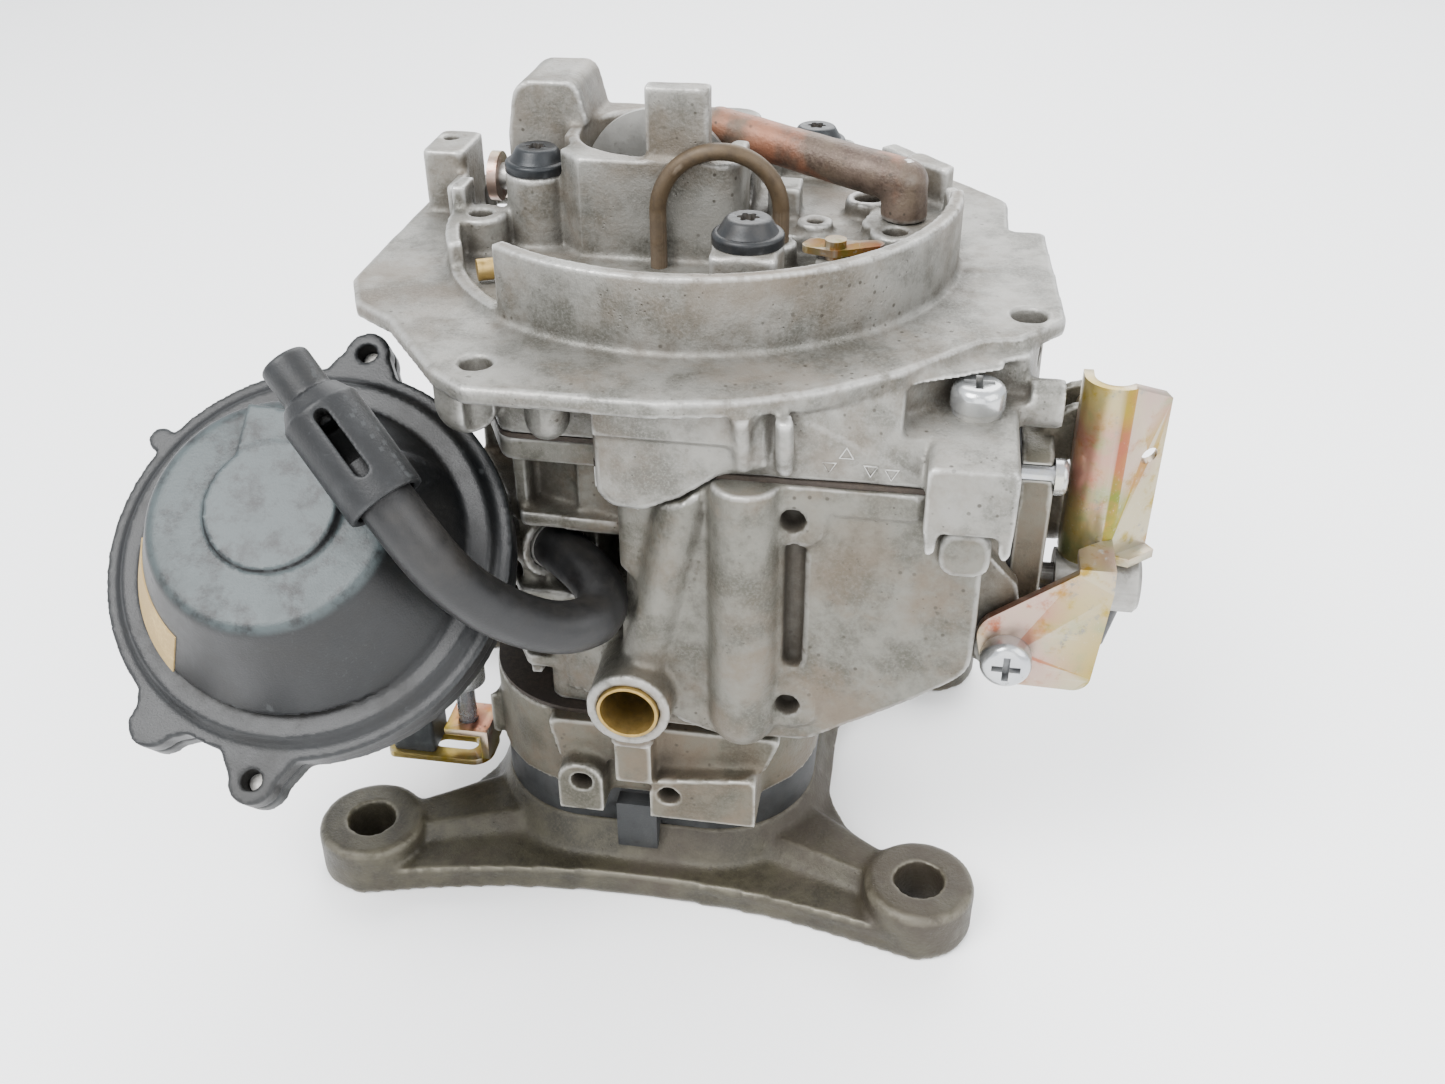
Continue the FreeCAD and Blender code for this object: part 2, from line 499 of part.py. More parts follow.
def horn_top():
    top = HORN_Z[1]
    under = top - 1
    ring_in = RING_R - RING_T
    pieces = [arc_wall(RING_C, RING_R, ring_in, under, RING_TOP, -128, 2)]
    pieces.append(arc_wall(RING_C, RING_R, ring_in, under, 123.5, 7, 13))
    pieces.append(arc_wall(RING_C, RING_R - 1, ring_in - 2, under, 124.5, 24, 44))
    pieces.append(arc_wall(RING_C, RING_R, ring_in, under, 118.5, 60, 128))
    pieces.append(arc_wall(RING_C, RING_R, ring_in, under, 119.0, 176, 206))
    pieces.append(arc_wall(RING_C, RING_R, ring_in, under, 123.0, 176, 184))
    pieces.append(arc_wall(RING_C, RING_R, ring_in, under, 114.6, 200, 234))
    # choke horn, pillar and hump
    pieces.append(slab([(-16.4, 4.6, 1), (12.4, 4.6, 4), (12.4, 39.6, 5), (-22.0, 39.6, 5), (-22.0, 11, 2)], under, 131))
    pieces.append(slab([(-4.2, 5.5, 0.6), (7.0, 5.5, 0.6), (7.0, 9.6, 0.6), (-4.2, 9.6, 0.6)], under, 143.4))
    hump = slab_y([(-34.2, under, 0), (-34.2, 129, 4), (-32.4, 138.6, 4), (-20.6, 139.0, 3), (-17.6, 127, 3),
                   (-17.6, under, 0)], 23, 41)
    pieces.append(hump)
    # screw bosses
    for x, y, seat in HORN_SCREWS:
        pieces.append(post(x, y, under, seat, 5.9))
    pieces.append(slab([(11.6, -24.6, 1), (22.6, -24.6, 1), (22.6, -12, 3), (11.6, -12, 3)], under, 125.6))
    pieces.append(slab([(-31.6, 12, 0), (-20.6, 12, 0), (-20.6, 24, 0), (-31.6, 24, 0)], under, 118.0))
    pieces.append(slab([(15, 44, 2), (28, 44, 2), (30, 56, 3), (15, 56, 3)], under, 121))
    # left boss, back left block
    pieces.append(post(-35.6, 7.4, under, 119, 4.8))
    pieces.append(slab([(-40, 3, 1), (-33, 3, 1), (-31, 10, 2), (-40, 12, 1)], under, 119))
    pieces.append(slab(rectangle(-51.6, 22.5, -43.2, 36, 1.5), under, 125.0))
    pieces.append(slab(rectangle(-44.6, 14.5, -42.4, 24, 1), under, 121))
    # deck of nozzles and bosses on the right, inside the ring
    pieces.append(slab([(20, 12, 2), (47, 10, 3), (47, 36, 6), (34, 44, 6), (12, 44, 2), (12, 26, 2)], under, 116))
    for x, y, z, r in ((25.0, 15.5, 118.0, 3.3), (34.0, 25.5, 119.4, 4.4), (39.8, 10.8, 118.6, 4.6), (44.0, 20, 118.6, 4.0)):
        pieces.append(post(x, y, under, z, r))
    pieces.append(slab([(33, 13, 3), (47.5, 8, 3), (48, 28, 4), (37, 30, 4)], under, 118.6))
    pieces.append(slab([(27, -6, 1), (33, -8, 1), (36, 4, 2), (26, 8, 2)], under, 117))
    pieces.append(post(19.8, 5.4, under, 117.5, 3.0))
    pieces.append(box(15.6, 20, under, 21.6, 27, 122))
    pieces.append(slab([(40, 30, 2), (48, 24, 1), (49.6, 27, 1), (42, 36, 2)], under, 125.6))
    return pieces


def vent_tube():
    """Thick closed-ended tube that leans over the barrels, with its vertical leg."""
    tip, elbow, foot = V(5.4, 27.6, 130.6), V(40.9, 17.1, 125.4), V(40.9, 17.1, 118.6)
    leg = rod(foot, elbow, 4.3, 4.0)
    arm = rod(elbow, tip, 4.1, 3.6)
    knee = Part.makeSphere(4.1, elbow)
    nose = Part.makeSphere(3.6, tip)
    return join([leg, knee, arm, nose])


def screw_end(y):
    """Lower end of a horn screw's hole: the front one stops in the horn, above the float bowl."""
    return 106.5 if y < 0 else 83.0


def air_horn():
    low, top = HORN_Z
    whole = join(horn_shell() + horn_top())
    cuts = [post(CHOKE_X, CHOKE_Y, 104, 131.1, CHOKE_R)]
    cuts.append(post(RING_C.x, RING_C.y, top - 0.4, top, RING_R - RING_T))
    cuts.append(slab(rectangle(-28, 7, 28, 33, 6), low - 1, 106))
    cuts.append(slab(rectangle(2.5, -39.5, 52, -9, 4), low - 1, 101.5))
    cuts.append(rod(V(-36, CHOKE_Y, CHOKE_Z), V(15, CHOKE_Y, CHOKE_Z), 2.5 + RUNNING))
    cuts.append(slab(rectangle(-43.0, 19, -34.4, 36, 2), low - 1, top + 1))
    cuts.append(post(-22.2, -41.2, 100, top + 1, 2.6))
    cuts.append(post(63.4, -9.7, 104, top + 1, 3.0))
    cuts.append(post(-35.6, 7.4, 109, 120, 2.1))
    cuts.append(post(-48.4, 31.6, 116, 130, 1.6))
    cuts.append(post(34.0, 25.5, 112, 125, 2.6))
    cuts.append(post(39.8, 10.8, 112, 125, 2.2))
    cuts.append(post(25.0, 15.5, 112, 125, 1.5))
    for x, y, seat in HORN_SCREWS:
        cuts.append(post(x, y, screw_end(y), 130, M5_R + 0.3))
        cuts.append(post(x, y, seat, 150, 6.2))
    cuts.append(post(CORNER_SCREW.x, CORNER_SCREW.y, low + 0.3, 105, M4_R))
    cuts.append(post(NEEDLE_X, NEEDLE_Y, low - 1, 108, 3.6))
    cuts.append(box(5.0, 19.6, 125.2, 14.6, 31.6, 140))
    cuts.append(slab([(44.5, -50, 0), (44.5, -32.5, 0), (55, -21.5, 2), (64, -21.5, 0), (64, -50, 0)], 104, top - FLANGE_T))
    lugs = []
    for y0, y1 in ((-33.6, -31.4), (-16.6, -14.4)):
        lugs.append(slab_y([(3.2, 80.6, 2), (8.8, 80.6, 2), (8.8, 106, 0), (3.2, 106, 0)], y0, y1))
    whole = whole.cut(join_all(cuts))
    whole = join([whole] + lugs)
    pin = rod(V(FLOAT_PIN.x, -35.5, FLOAT_PIN.z), V(FLOAT_PIN.x, -12.5, FLOAT_PIN.z), 1.25)
    passage = rod(V(-3, -30, 100), V(NEEDLE_X, NEEDLE_Y, 107), 1.5)
    return whole.cut(pin.fuse(passage))


def horn_gasket():
    plate = slab(body_top_outline(), BODY_Z[1], HORN_Z[0])
    holes = [slab(rectangle(-28.6, 4.6, 28.6, 33.4, 6), 96, 99), slab(rectangle(2, -40, 54.5, -8.5, 4), 96, 99)]
    holes.append(slab_y(lobe_outline(0.3), -60, FRONT + 2.4))
    for x, y, _ in HORN_SCREWS[1:]:
        holes.append(post(x, y, 96, 99, M5_R + 0.4))
    return plate.cut(join_all(holes))


def horn_screws():
    """Flanged button-head screws with a six-lobed socket."""
    screws = []
    for x, y, seat in HORN_SCREWS:
        flange = rounded(post(x, y, seat, seat + 1.9, 5.9), 0.7, seat + 1.85, seat + 1.95)
        dome = rod(V(x, y, seat + 1.2), V(x, y, seat + 4.2), 5.4, 3.6)
        dome = rounded(dome, 1.0, seat + 4.1, seat + 4.3)
        socket = [post(x, y, seat + 2.0, seat + 5, 1.35)]
        for k in range(6):
            turn = radians(60 * k)
            socket.append(post(x + 1.35 * cos(turn), y + 1.35 * sin(turn), seat + 2.0, seat + 5, 0.5))
        shank = post(x, y, screw_end(y) + 0.5, seat, M5_R - 0.06)
        screws.append(join([flange, dome]).cut(join_all(socket)).fuse(shank))
    return Part.makeCompound(screws)


def zinc_screws():
    """Cross-head screws of the corner ledge, the guard bracket and the small lower bracket."""
    seats = [(CORNER_SCREW + Z * 1.2, Z, 6.6), (BRACKET_SCREW, V(0, -1, 0), 6.0), (V(-39.5, -19.5, 31.0), Z, 12.4)]
    return Part.makeCompound([pan_screw(seat, axis, 4.4, 4.0, M4_R - 0.06, length) for seat, axis, length in seats])


def corner_washer():
    washer = tube(CORNER_SCREW, CORNER_SCREW + Z * 1.2, 4.0, M4_R + 0.15)
    split = box(0, -0.5, -1, 6, 0.5, 4)
    split.translate(CORNER_SCREW)
    return washer.cut(split)


def vent_pipe():
    """Thin bent pipe, a half loop between two bosses."""
    left, right = V(-1.6, 2.4, HORN_Z[1] - 0.4), V(19.8, 5.4, 117.5)
    crown = 133.4
    points = [left, V(left.x, left.y, crown), V(right.x, right.y, crown), right]
    return bent_rod(points, 1.5, 10.6)


# ---- choke ----
def choke_shaft():
    whole = rod(V(-37.4, CHOKE_Y, CHOKE_Z), V(11.5, CHOKE_Y, CHOKE_Z), 2.5)
    slit = box(CHOKE_X - CHOKE_R + 0.1, CHOKE_Y - 0.6, CHOKE_Z - 3, CHOKE_X + CHOKE_R - 0.1, CHOKE_Y + 0.6, CHOKE_Z + 3)
    return whole.cut(slit)


def choke_plate():
    disc = rod(V(CHOKE_X, CHOKE_Y - 0.6, CHOKE_Z), V(CHOKE_X, CHOKE_Y + 0.6, CHOKE_Z), CHOKE_R - 0.4)
    for side in (-1, 1):
        disc = disc.cut(rod(V(CHOKE_X + side * 6, CHOKE_Y - 1, CHOKE_Z), V(CHOKE_X + side * 6, CHOKE_Y + 1, CHOKE_Z), 1.05))
    return disc


def plate_screws(places, seat_axis, radius):
    """Small pan-head screws that hold a plate to its shaft."""
    screws = []
    for seat in places:
        head = rod(seat, seat + seat_axis * 1.2, 2.0)
        screws.append(head.fuse(rod(seat - seat_axis * (2 * radius - 0.4), seat, 1.0)))
    return Part.makeCompound(screws)


def crank_pin(y, z):
    angle = radians(CRANK_ANGLE)
    return y + CRANK_R * cos(angle), z + CRANK_R * sin(angle)


def crank_arm(y, z, x0, x1, hub_r, eye_r):
    """Arm from a hub to its eye, in a plane across X."""
    py, pz = crank_pin(y, z)
    hub = rod(V(x0, y, z), V(x1, y, z), hub_r)
    eye = rod(V(x0, py, pz), V(x1, py, pz), eye_r)
    along = V(0, py - y, pz - z).normalize()
    side = V(0, -along.z, along.y)
    corners = [V(x0, y, z) + side * eye_r, V(x0, py, pz) + side * eye_r,
               V(x0, py, pz) - side * eye_r, V(x0, y, z) - side * eye_r]
    web = Part.Face(Part.makePolygon(corners + [corners[0]])).extrude(X * (x1 - x0))
    return join([hub, web, eye])


def choke_lever():
    arm = crank_arm(CHOKE_Y, CHOKE_Z, -37.4, -35.6, 4.6, 2.6)
    py, pz = crank_pin(CHOKE_Y, CHOKE_Z)
    holes = rod(V(-40, CHOKE_Y, CHOKE_Z), V(-34, CHOKE_Y, CHOKE_Z), 2.5)
    holes = holes.fuse(rod(V(-40, py, pz), V(-34, py, pz), 1.15 + RUNNING))
    return arm.cut(holes)


def choke_rod():
    """Bent wire from the choke lever down to the fast idle cam."""
    py, top = crank_pin(CHOKE_Y, CHOKE_Z)
    bottom = crank_pin(CHOKE_Y, CAM_Z)[1]
    return bent_rod([V(-35.4, py, top), V(-40.6, py, top), V(-40.6, py, bottom), V(-35.4, py, bottom)], 1.15, 1.8)


def fast_idle_cam():
    """Stepped cam on its pivot screw, with the rod's eye on a crank arm."""
    steps = []
    for k in range(5):
        start = 256 - 20 * k
        sector = Part.makeCylinder(10.6 + 0.5 * k, 2.6, V(-38.2, CHOKE_Y, CAM_Z), X, 24)
        sector.rotate(V(-38.2, CHOKE_Y, CAM_Z), X, start)
        steps.append(sector)
    arm = crank_arm(CHOKE_Y, CAM_Z, -38.2, -35.6, 5.0, 2.6)
    py, pz = crank_pin(CHOKE_Y, CAM_Z)
    holes = rod(V(-40, CHOKE_Y, CAM_Z), V(-34, CHOKE_Y, CAM_Z), 2.5 + RUNNING)
    holes = holes.fuse(rod(V(-40, py, pz), V(-34, py, pz), 1.15 + RUNNING))
    return join([arm] + steps).cut(holes)


def cam_pivot():
    shoulder = rod(V(-34.3, CHOKE_Y, CAM_Z), V(-38.5, CHOKE_Y, CAM_Z), 2.5)
    head = rod(V(-38.5, CHOKE_Y, CAM_Z), V(-40.3, CHOKE_Y, CAM_Z), 3.1)
    head = head.cut(box(-41, CHOKE_Y - 4, CAM_Z - 0.4, -39.6, CHOKE_Y + 4, CAM_Z + 0.4))
    spacer = rod(V(-34.2, CHOKE_Y, CAM_Z), V(-35.2, CHOKE_Y, CAM_Z), 3.4)
    return join([shoulder, head, spacer, rod(V(-30.5, CHOKE_Y, CAM_Z), V(-34.3, CHOKE_Y, CAM_Z), M4_R - 0.05)])


# ---- thermostat ----
def cover_ring(out0, out1, outer, inner):
    return tube(cover_point(0, 0, out0), cover_point(0, 0, out1), outer, inner)


def cover_lug(bearing, reach, out0, out1, radius, foot):
    """Pointed lug on the rim with a screw hole, at a bearing from the cover's right."""
    angle = radians(bearing)
    tip = cover_point(reach * cos(angle), reach * sin(angle), out0)
    pieces = [rod(tip, tip + COVER_N * (out1 - out0), radius)]
    corners = []
    for turn, far in ((-foot, COVER_R - 1.5), (0, reach), (foot, COVER_R - 1.5)):
        swing = radians(bearing + turn)
        if turn:
            corners.append(cover_point(far * cos(swing), far * sin(swing), out0))
            continue
        for side in (-1, 1):
            x = reach * cos(angle) - side * -radius * sin(angle)
            y = reach * sin(angle) - side * radius * cos(angle)
            corners.append(cover_point(x, y, out0))
    face = Part.Face(Part.makePolygon([corners[0], corners[2], corners[1], corners[3], corners[0]]))
    pieces.append(face.extrude(COVER_N * (out1 - out0)))
    return join(pieces)


COVER_LUGS = ((268, 38.0), (86, 38.0), (237, 36.6))


def lug_hole(bearing, reach, radius):
    angle = radians(bearing)
    a = cover_point(reach * cos(angle), reach * sin(angle), -30)
    b = cover_point(reach * cos(angle), reach * sin(angle), 20)
    return rod(a, b, radius)


def choke_housing():
    """Cup behind the cover, with its own flange, on the body's foot."""
    cup = rod(cover_point(0, 0, FOOT_OUT), cover_point(0, 0, -6), 27, 31)
    flange = rod(cover_point(0, 0, -6), cover_point(0, 0, -2), COVER_R - 0.4)
    pieces = [cup, flange]
    for bearing, reach in COVER_LUGS:
        pieces.append(cover_lug(bearing, reach, -6, -2, 4.0, 13))
    whole = join(pieces)
    hollow = rod(cover_point(0, 0, FOOT_OUT + 3), cover_point(0, 0, -1), 24, 28.5)
    cuts = [hollow, thermostat_bore()]
    for bearing, reach in COVER_LUGS[:2]:
        cuts.append(lug_hole(bearing, reach, 1.6))
    return whole.cut(join_all(cuts))


def choke_cover():
    """Stepped plastic dome: rim, ledge, tapered drum and raised round panel."""
    drum = rod(cover_point(0, 0, 3), cover_point(0.2, 1.2, 21), 28.0, 19.6)
    top = [edge for edge in drum.Edges if (edge.CenterOfMass - COVER_C).dot(COVER_N) > 20.5]
    drum = drum.makeFillet(2.6, [edge for edge in top if edge.Length > 60])
    pieces = [rod(cover_point(0, 0, -2), cover_point(0, 0, 2.0), COVER_R),
              rod(cover_point(0, 0, 2.0), cover_point(0, 0, 3.6), 32.4, 31.2), drum]
    pieces.append(rod(cover_point(0.6, 1.9, 20), cover_point(0.6, 1.9, 22.6), 11.0, 10.6))
    # raised tongue from the panel up to the drum's edge
    tongue = [cover_point(x, y, 19) for x, y in ((-7.0, 8), (9.5, 5), (9.6, 17.2), (-6.8, 18.6))]
    tongue = Part.Face(Part.makePolygon(tongue + [tongue[0]])).extrude(COVER_N * 3.5)
    pieces.append(tongue)
    for bearing, reach in COVER_LUGS:
        pieces.append(cover_lug(bearing, reach, -2, 2.0, 4.0, 13))
    nub = cover_point((COVER_R + 1) * cos(radians(149)), (COVER_R + 1) * sin(radians(149)), -2)
    pieces.append(rod(nub, nub + COVER_N * 4, 2.2))
    # saddle on the right shoulder that carries the hose sleeve
    pieces.append(rod(cover_point(17, 14, 2), sleeve_point(0.55) - COVER_N * 3.0, 5.0, 4.2))
    whole = join(pieces)
    hollow = rod(cover_point(0, 0, -3), cover_point(0, 0, 18), 26.0, 17.6)
    whole = whole.cut(hollow)
    whole = whole.cut(sleeve_hole())
    for bearing, reach in COVER_LUGS[:2]:
        whole = whole.cut(lug_hole(bearing, reach, 1.7))
    return whole


SLEEVE_TOP = V(-43.2, -56.2, 113.0)
SLEEVE_MOUTH = V(-29.0, -64.2, 98.9)
SLEEVE_OUT, SLEEVE_IN = 6.2, 4.9


def sleeve_point(share):
    return SLEEVE_TOP + (SLEEVE_MOUTH - SLEEVE_TOP) * share


def sleeve_hole():
    axis = (SLEEVE_MOUTH - SLEEVE_TOP).normalize()
    return rod(SLEEVE_TOP - axis * 2, SLEEVE_MOUTH + axis * 2, SLEEVE_OUT + 0.02)


def hose_sleeve():
    """Plastic sleeve round the hose's end, with a nozzle at the top and a slot in its side."""
    axis = (SLEEVE_MOUTH - SLEEVE_TOP).normalize()
    shell = rod(sleeve_point(0.14), SLEEVE_MOUTH - axis * 1.6, SLEEVE_OUT)
    neck = rod(sleeve_point(0.02), sleeve_point(0.16), 4.6, SLEEVE_OUT)
    nub = rod(SLEEVE_TOP - axis * 6.6, sleeve_point(0.1), 3.9)
    nub = nub.makeFillet(0.8, [edge for edge in nub.Edges if (edge.CenterOfMass - SLEEVE_TOP).dot(axis) < -6])
    whole = join([shell, neck, nub])
    outward = (COVER_N - axis * COVER_N.dot(axis)).normalize()
    sideways = axis.cross(outward)
    corner = sleeve_point(0.24) - sideways * 1.1 + outward * 1.0
    slot = [corner, corner + sideways * 2.2, corner + sideways * 2.2 + axis * 9.6, corner + axis * 9.6]
    slot = Part.Face(Part.makePolygon(slot + [slot[0]])).extrude(outward * 10)
    for end in (corner + sideways * 1.1, corner + sideways * 1.1 + axis * 9.6):
        slot = slot.fuse(rod(end, end + outward * 10, 1.1))
    return whole.cut(rod(sleeve_point(0.24), SLEEVE_MOUTH + axis, SLEEVE_IN)).cut(slot)


def hose_nipple():
    """Barbed tube in the body that the hose's far end sits over."""
    start, end = HOSE_END + HOSE_IN * 0.05, HOSE_END + HOSE_IN * 9
    return tube(start, end, HOSE_R + 0.25, 2.6)


def choke_hose():
    """Rubber hose: straight runs joined by tangent arcs."""
    points = [V(*place) for place in HOSE_ROUTE]
    edges = []
    here = points[0]
    radii = []
    for i in range(1, len(points) - 1):
        back = points[i - 1] - points[i]
        ahead = points[i + 1] - points[i]
        shorter = min(back.Length, ahead.Length)
        half = back.getAngle(ahead) / 2
        reach = 0.45 * shorter
        radius = reach * tan(half)
        radii.append(round(radius, 1))
        back.normalize()
        ahead.normalize()
        first = points[i] + back * reach
        last = points[i] + ahead * reach
        middle = points[i] + (back + ahead).normalize() * (radius / sin(half) - radius)
        edges.append(Part.LineSegment(here, first).toShape())
        edges.append(Part.Arc(first, middle, last).toShape())
        here = last
    edges.append(Part.LineSegment(here, points[-1]).toShape())
    path = Part.Wire(edges)
    section = Part.Wire(Part.makeCircle(HOSE_R, points[0], points[1] - points[0]))
    hose = path.makePipeShell([section], True, False)
    print("hose radii", radii, "length", round(path.Length, 1), "volume share",
          round(hose.Volume / (pi * HOSE_R ** 2 * path.Length), 3))
    return hose


def cover_screws():
    screws = []
    for bearing, reach in COVER_LUGS[:2]:
        angle = radians(bearing)
        back = cover_point(reach * cos(angle), reach * sin(angle), -6)
        screws.append(rod(back - COVER_N * 1.6, back - COVER_N * 0.02, 2.6).fuse(rod(back - COVER_N * 0.1, back + COVER_N * 4.6, 1.5)))
    return Part.makeCompound(screws)


def bimetal_coil():
    """Flat spiral strip in the housing, one turn inside the other."""
    turns = []
    for k in range(5):
        radius = 7.0 + 2.6 * k
        turns.append(cover_ring(-9, -3, radius + 0.45, radius - 0.45))
    spoke = Part.Face(Part.makePolygon([cover_point(x, y, -8) for x, y in ((6.6, -0.5), (18, -0.5), (18, 0.5), (6.6, 0.5), (6.6, -0.5))]))
    return join(turns + [spoke.extrude(COVER_N * 4)])


def thermostat_shaft():
    """Shaft with the coil's catch inside the housing and a lever behind the foot."""
    shaft = rod(cover_point(0, 0, FOOT_OUT - 10), cover_point(0, 0, -4), THERMO_SHAFT_R)
    hub = rod(cover_point(0, 0, FOOT_OUT + 3.4), cover_point(0, 0, -10), 4.4)
    catch = [cover_point(x, y, -12) for x, y in ((0, -2), (21, -2), (21, 2), (0, 2))]
    catch = Part.Face(Part.makePolygon(catch + [catch[0]])).extrude(COVER_N * 2)
    back = [cover_point(x, y, FOOT_OUT - 9) for x, y in ((-3, 3), (3, 3), (1.4, -13), (-6.4, -12))]
    back = Part.Face(Part.makePolygon(back + [back[0]])).extrude(COVER_N * 2)
    return join([shaft, hub, catch, back])


def cover_label():
    """Thin paper tag on the drum's lower left flank."""
    drum_in = rod(cover_point(0, 0, 3), cover_point(0.2, 1.2, 21), 28.0, 19.6)
    drum_out = rod(cover_point(0, 0, 3), cover_point(0.2, 1.2, 21), 28.25, 19.85)
    skin = drum_out.cut(drum_in)
    blocks = []
    for bearing in (196, 206, 216, 226):
        angle = radians(bearing)
        centre = cover_point(26 * cos(angle), 26 * sin(angle), 4)
        side = cover_point(-sin(angle), cos(angle), 0) - COVER_C
        outward = cover_point(cos(angle), sin(angle), 0) - COVER_C
        corners = [centre + side * 3.4 - outward * 9, centre - side * 3.4 - outward * 9,
                   centre - side * 3.4 + outward * 9, centre + side * 3.4 + outward * 9]
        blocks.append(Part.Face(Part.makePolygon(corners + [corners[0]])).extrude(COVER_N * 10))
    return skin.common(join(blocks))


# ---- throttle ----
def throttle_shaft():
    whole = rod(V(-42, BORE_Y, THROTTLE_Z), V(44, BORE_Y, THROTTLE_Z), SHAFT_R)
    for side in (-1, 1):
        x = side * BORE_X
        whole = whole.cut(box(x - BORE_R + 0.1, BORE_Y - 5, THROTTLE_Z - 0.6, x + BORE_R - 0.1, BORE_Y + 5, THROTTLE_Z + 0.6))
    return whole


def throttle_plates():
    plates = []
    for side in (-1, 1):
        x = side * BORE_X
        plate = post(x, BORE_Y, THROTTLE_Z - 0.6, THROTTLE_Z + 0.6, BORE_R - 0.3)
        for shift in (-5.5, 5.5):
            plate = plate.cut(post(x + shift, BORE_Y, THROTTLE_Z - 1, THROTTLE_Z + 1, 1.05))
        plates.append(plate)
    return Part.makeCompound(plates)


def lever_plate(corners, x0, x1):
    """Flat lever across X; its hub hole is on the throttle shaft."""
    whole = slab_x(corners, x0, x1).fuse(rod(V(x0, BORE_Y, THROTTLE_Z), V(x1, BORE_Y, THROTTLE_Z), 7.5))
    return whole.removeSplitter().cut(rod(V(x0 - 1, BORE_Y, THROTTLE_Z), V(x1 + 1, BORE_Y, THROTTLE_Z), SHAFT_R))


def throttle_lever():
    """Right-hand lever: stop arm upwards, cable arm rearwards with its ball stud."""
    stop = lever_plate([(14.5, 30, 1), (21.5, 30, 1), (21, 46, 1.5), (16, 46, 1.5)], 37.2, 39.8)
    arm = slab_x([(18, 24, 1), (32, 20, 3), (36, 27, 3), (20, 35, 1)], 37.2, 39.8)
    arm = arm.cut(rod(V(36, BORE_Y, THROTTLE_Z), V(41, BORE_Y, THROTTLE_Z), SHAFT_R))
    ball = rod(V(39.8, 32, 24.6), V(44, 32, 24.6), 1.6).fuse(Part.makeSphere(3.2, V(45.5, 32, 24.6)))
    return join([stop, arm, ball])


def fast_idle_lever():
    """Left-hand lever whose screw meets the cam."""
    lever = lever_plate([(14, 30, 1), (22.4, 30, 1), (25, 42, 1.5), (18.6, 42, 1.5)], -38.4, -35.6)
    return join([lever, rod(V(-37, 22, 38.6), V(-37, 22, 46.3), 1.5)])


def shaft_nut():
    nut = slab_x([(BORE_Y + 6.2 * cos(radians(60 * k + 30)), THROTTLE_Z + 6.2 * sin(radians(60 * k + 30)), 0) for k in range(6)],
                 39.9, 43.4)
    return nut.cut(rod(V(39, BORE_Y, THROTTLE_Z), V(45, BORE_Y, THROTTLE_Z), SHAFT_R))


def return_spring():
    """Torsion spring round the shaft's right end, one open turn."""
    return Part.makeTorus(6.2, 0.5, V(35.8, BORE_Y, THROTTLE_Z), X, 0, 360, 330)


def idle_speed_screw():
    """Slotted screw along Y whose tip meets the throttle lever's stop arm."""
    body = rod(V(38.5, -14, 42), V(38.5, 15.2, 42), 1.95)
    head = rod(V(38.5, -17, 42), V(38.5, -14, 42), 4)
    head = head.cut(box(34, -18, 41.5, 43, -15.8, 42.5))
    return join([body, head])


def mixture_screw():
    """Brass screw at the rear whose thin tip reaches into the left barrel's passage."""
    body = rod(V(-16, 45, 27), V(-16, 34.4, 27), 1.95)
    needle = rod(V(-16, 35, 27), V(-16, 31.6, 27), 0.85)
    head = rod(V(-16, 48, 27), V(-16, 45, 27), 3.6)
    head = head.cut(box(-20, 46.8, 26.5, -12, 49, 27.5))
    return join([body, needle, head])


# ---- float, needle and jets ----
def fuel_float():
    """Hollow plastic float with its arm and hinge sleeve."""
    block = slab(rectangle(24, -36, 50, -13, 5), 72, 86)
    arm = box(5.5, -29, 83.2, 26, -19.5, 84.8)
    sleeve = rod(V(FLOAT_PIN.x, -30.8, FLOAT_PIN.z), V(FLOAT_PIN.x, -17.2, FLOAT_PIN.z), 2.2)
    hole = rod(V(FLOAT_PIN.x, -32, FLOAT_PIN.z), V(FLOAT_PIN.x, -16, FLOAT_PIN.z), 1.2 + RUNNING)
    return join([block, arm, sleeve]).cut(hole)


def float_pin():
    return rod(V(FLOAT_PIN.x, -35, FLOAT_PIN.z), V(FLOAT_PIN.x, -13, FLOAT_PIN.z), 1.2)


def needle_seat():
    seat = post(NEEDLE_X, NEEDLE_Y, 90, 107, 3.6)
    hexagon = [(NEEDLE_X + 4.2 * cos(radians(60 * k)), NEEDLE_Y + 4.2 * sin(radians(60 * k)), 0) for k in range(6)]
    seat = seat.fuse(slab(hexagon, 94.0, 97.0))
    seat = seat.cut(post(NEEDLE_X, NEEDLE_Y, 89, 96.4, 1.8))
    return seat.cut(post(NEEDLE_X, NEEDLE_Y, 96, 108, 1.0))


def inlet_needle():
    stem = post(NEEDLE_X, NEEDLE_Y, 85.0, 94, 1.7)
    return stem.fuse(rod(V(NEEDLE_X, NEEDLE_Y, 94), V(NEEDLE_X, NEEDLE_Y, 96.2), 1.5, 0.6))


def fuel_inlet():
    """Brass lining of the inlet boss, with a thin lip."""
    return tube(INLET - Y * 0.4, INLET + Y * 12, 5.35, INLET_R)


def booster_venturis():
    rings = []
    for side in (-1, 1):
        x = side * BORE_X
        ring = tube(V(x, BORE_Y, 72), V(x, BORE_Y, 84), 5.2, 3.8)
        arm = box(x - 1.8, BORE_Y - 12.4, 76, x + 1.8, BORE_Y - 4.2, 81)
        rings.append(join([ring, arm]))
    return Part.makeCompound(rings)


def main_jets():
    jets = []
    for x in (16, 30):
        jet = post(x, -24, 48, 53.6, 2.45).fuse(post(x, -24, 52.02, 54.4, 3.4))
        jets.append(jet.cut(post(x, -24, 47, 55, 0.6)))
    return Part.makeCompound(jets)


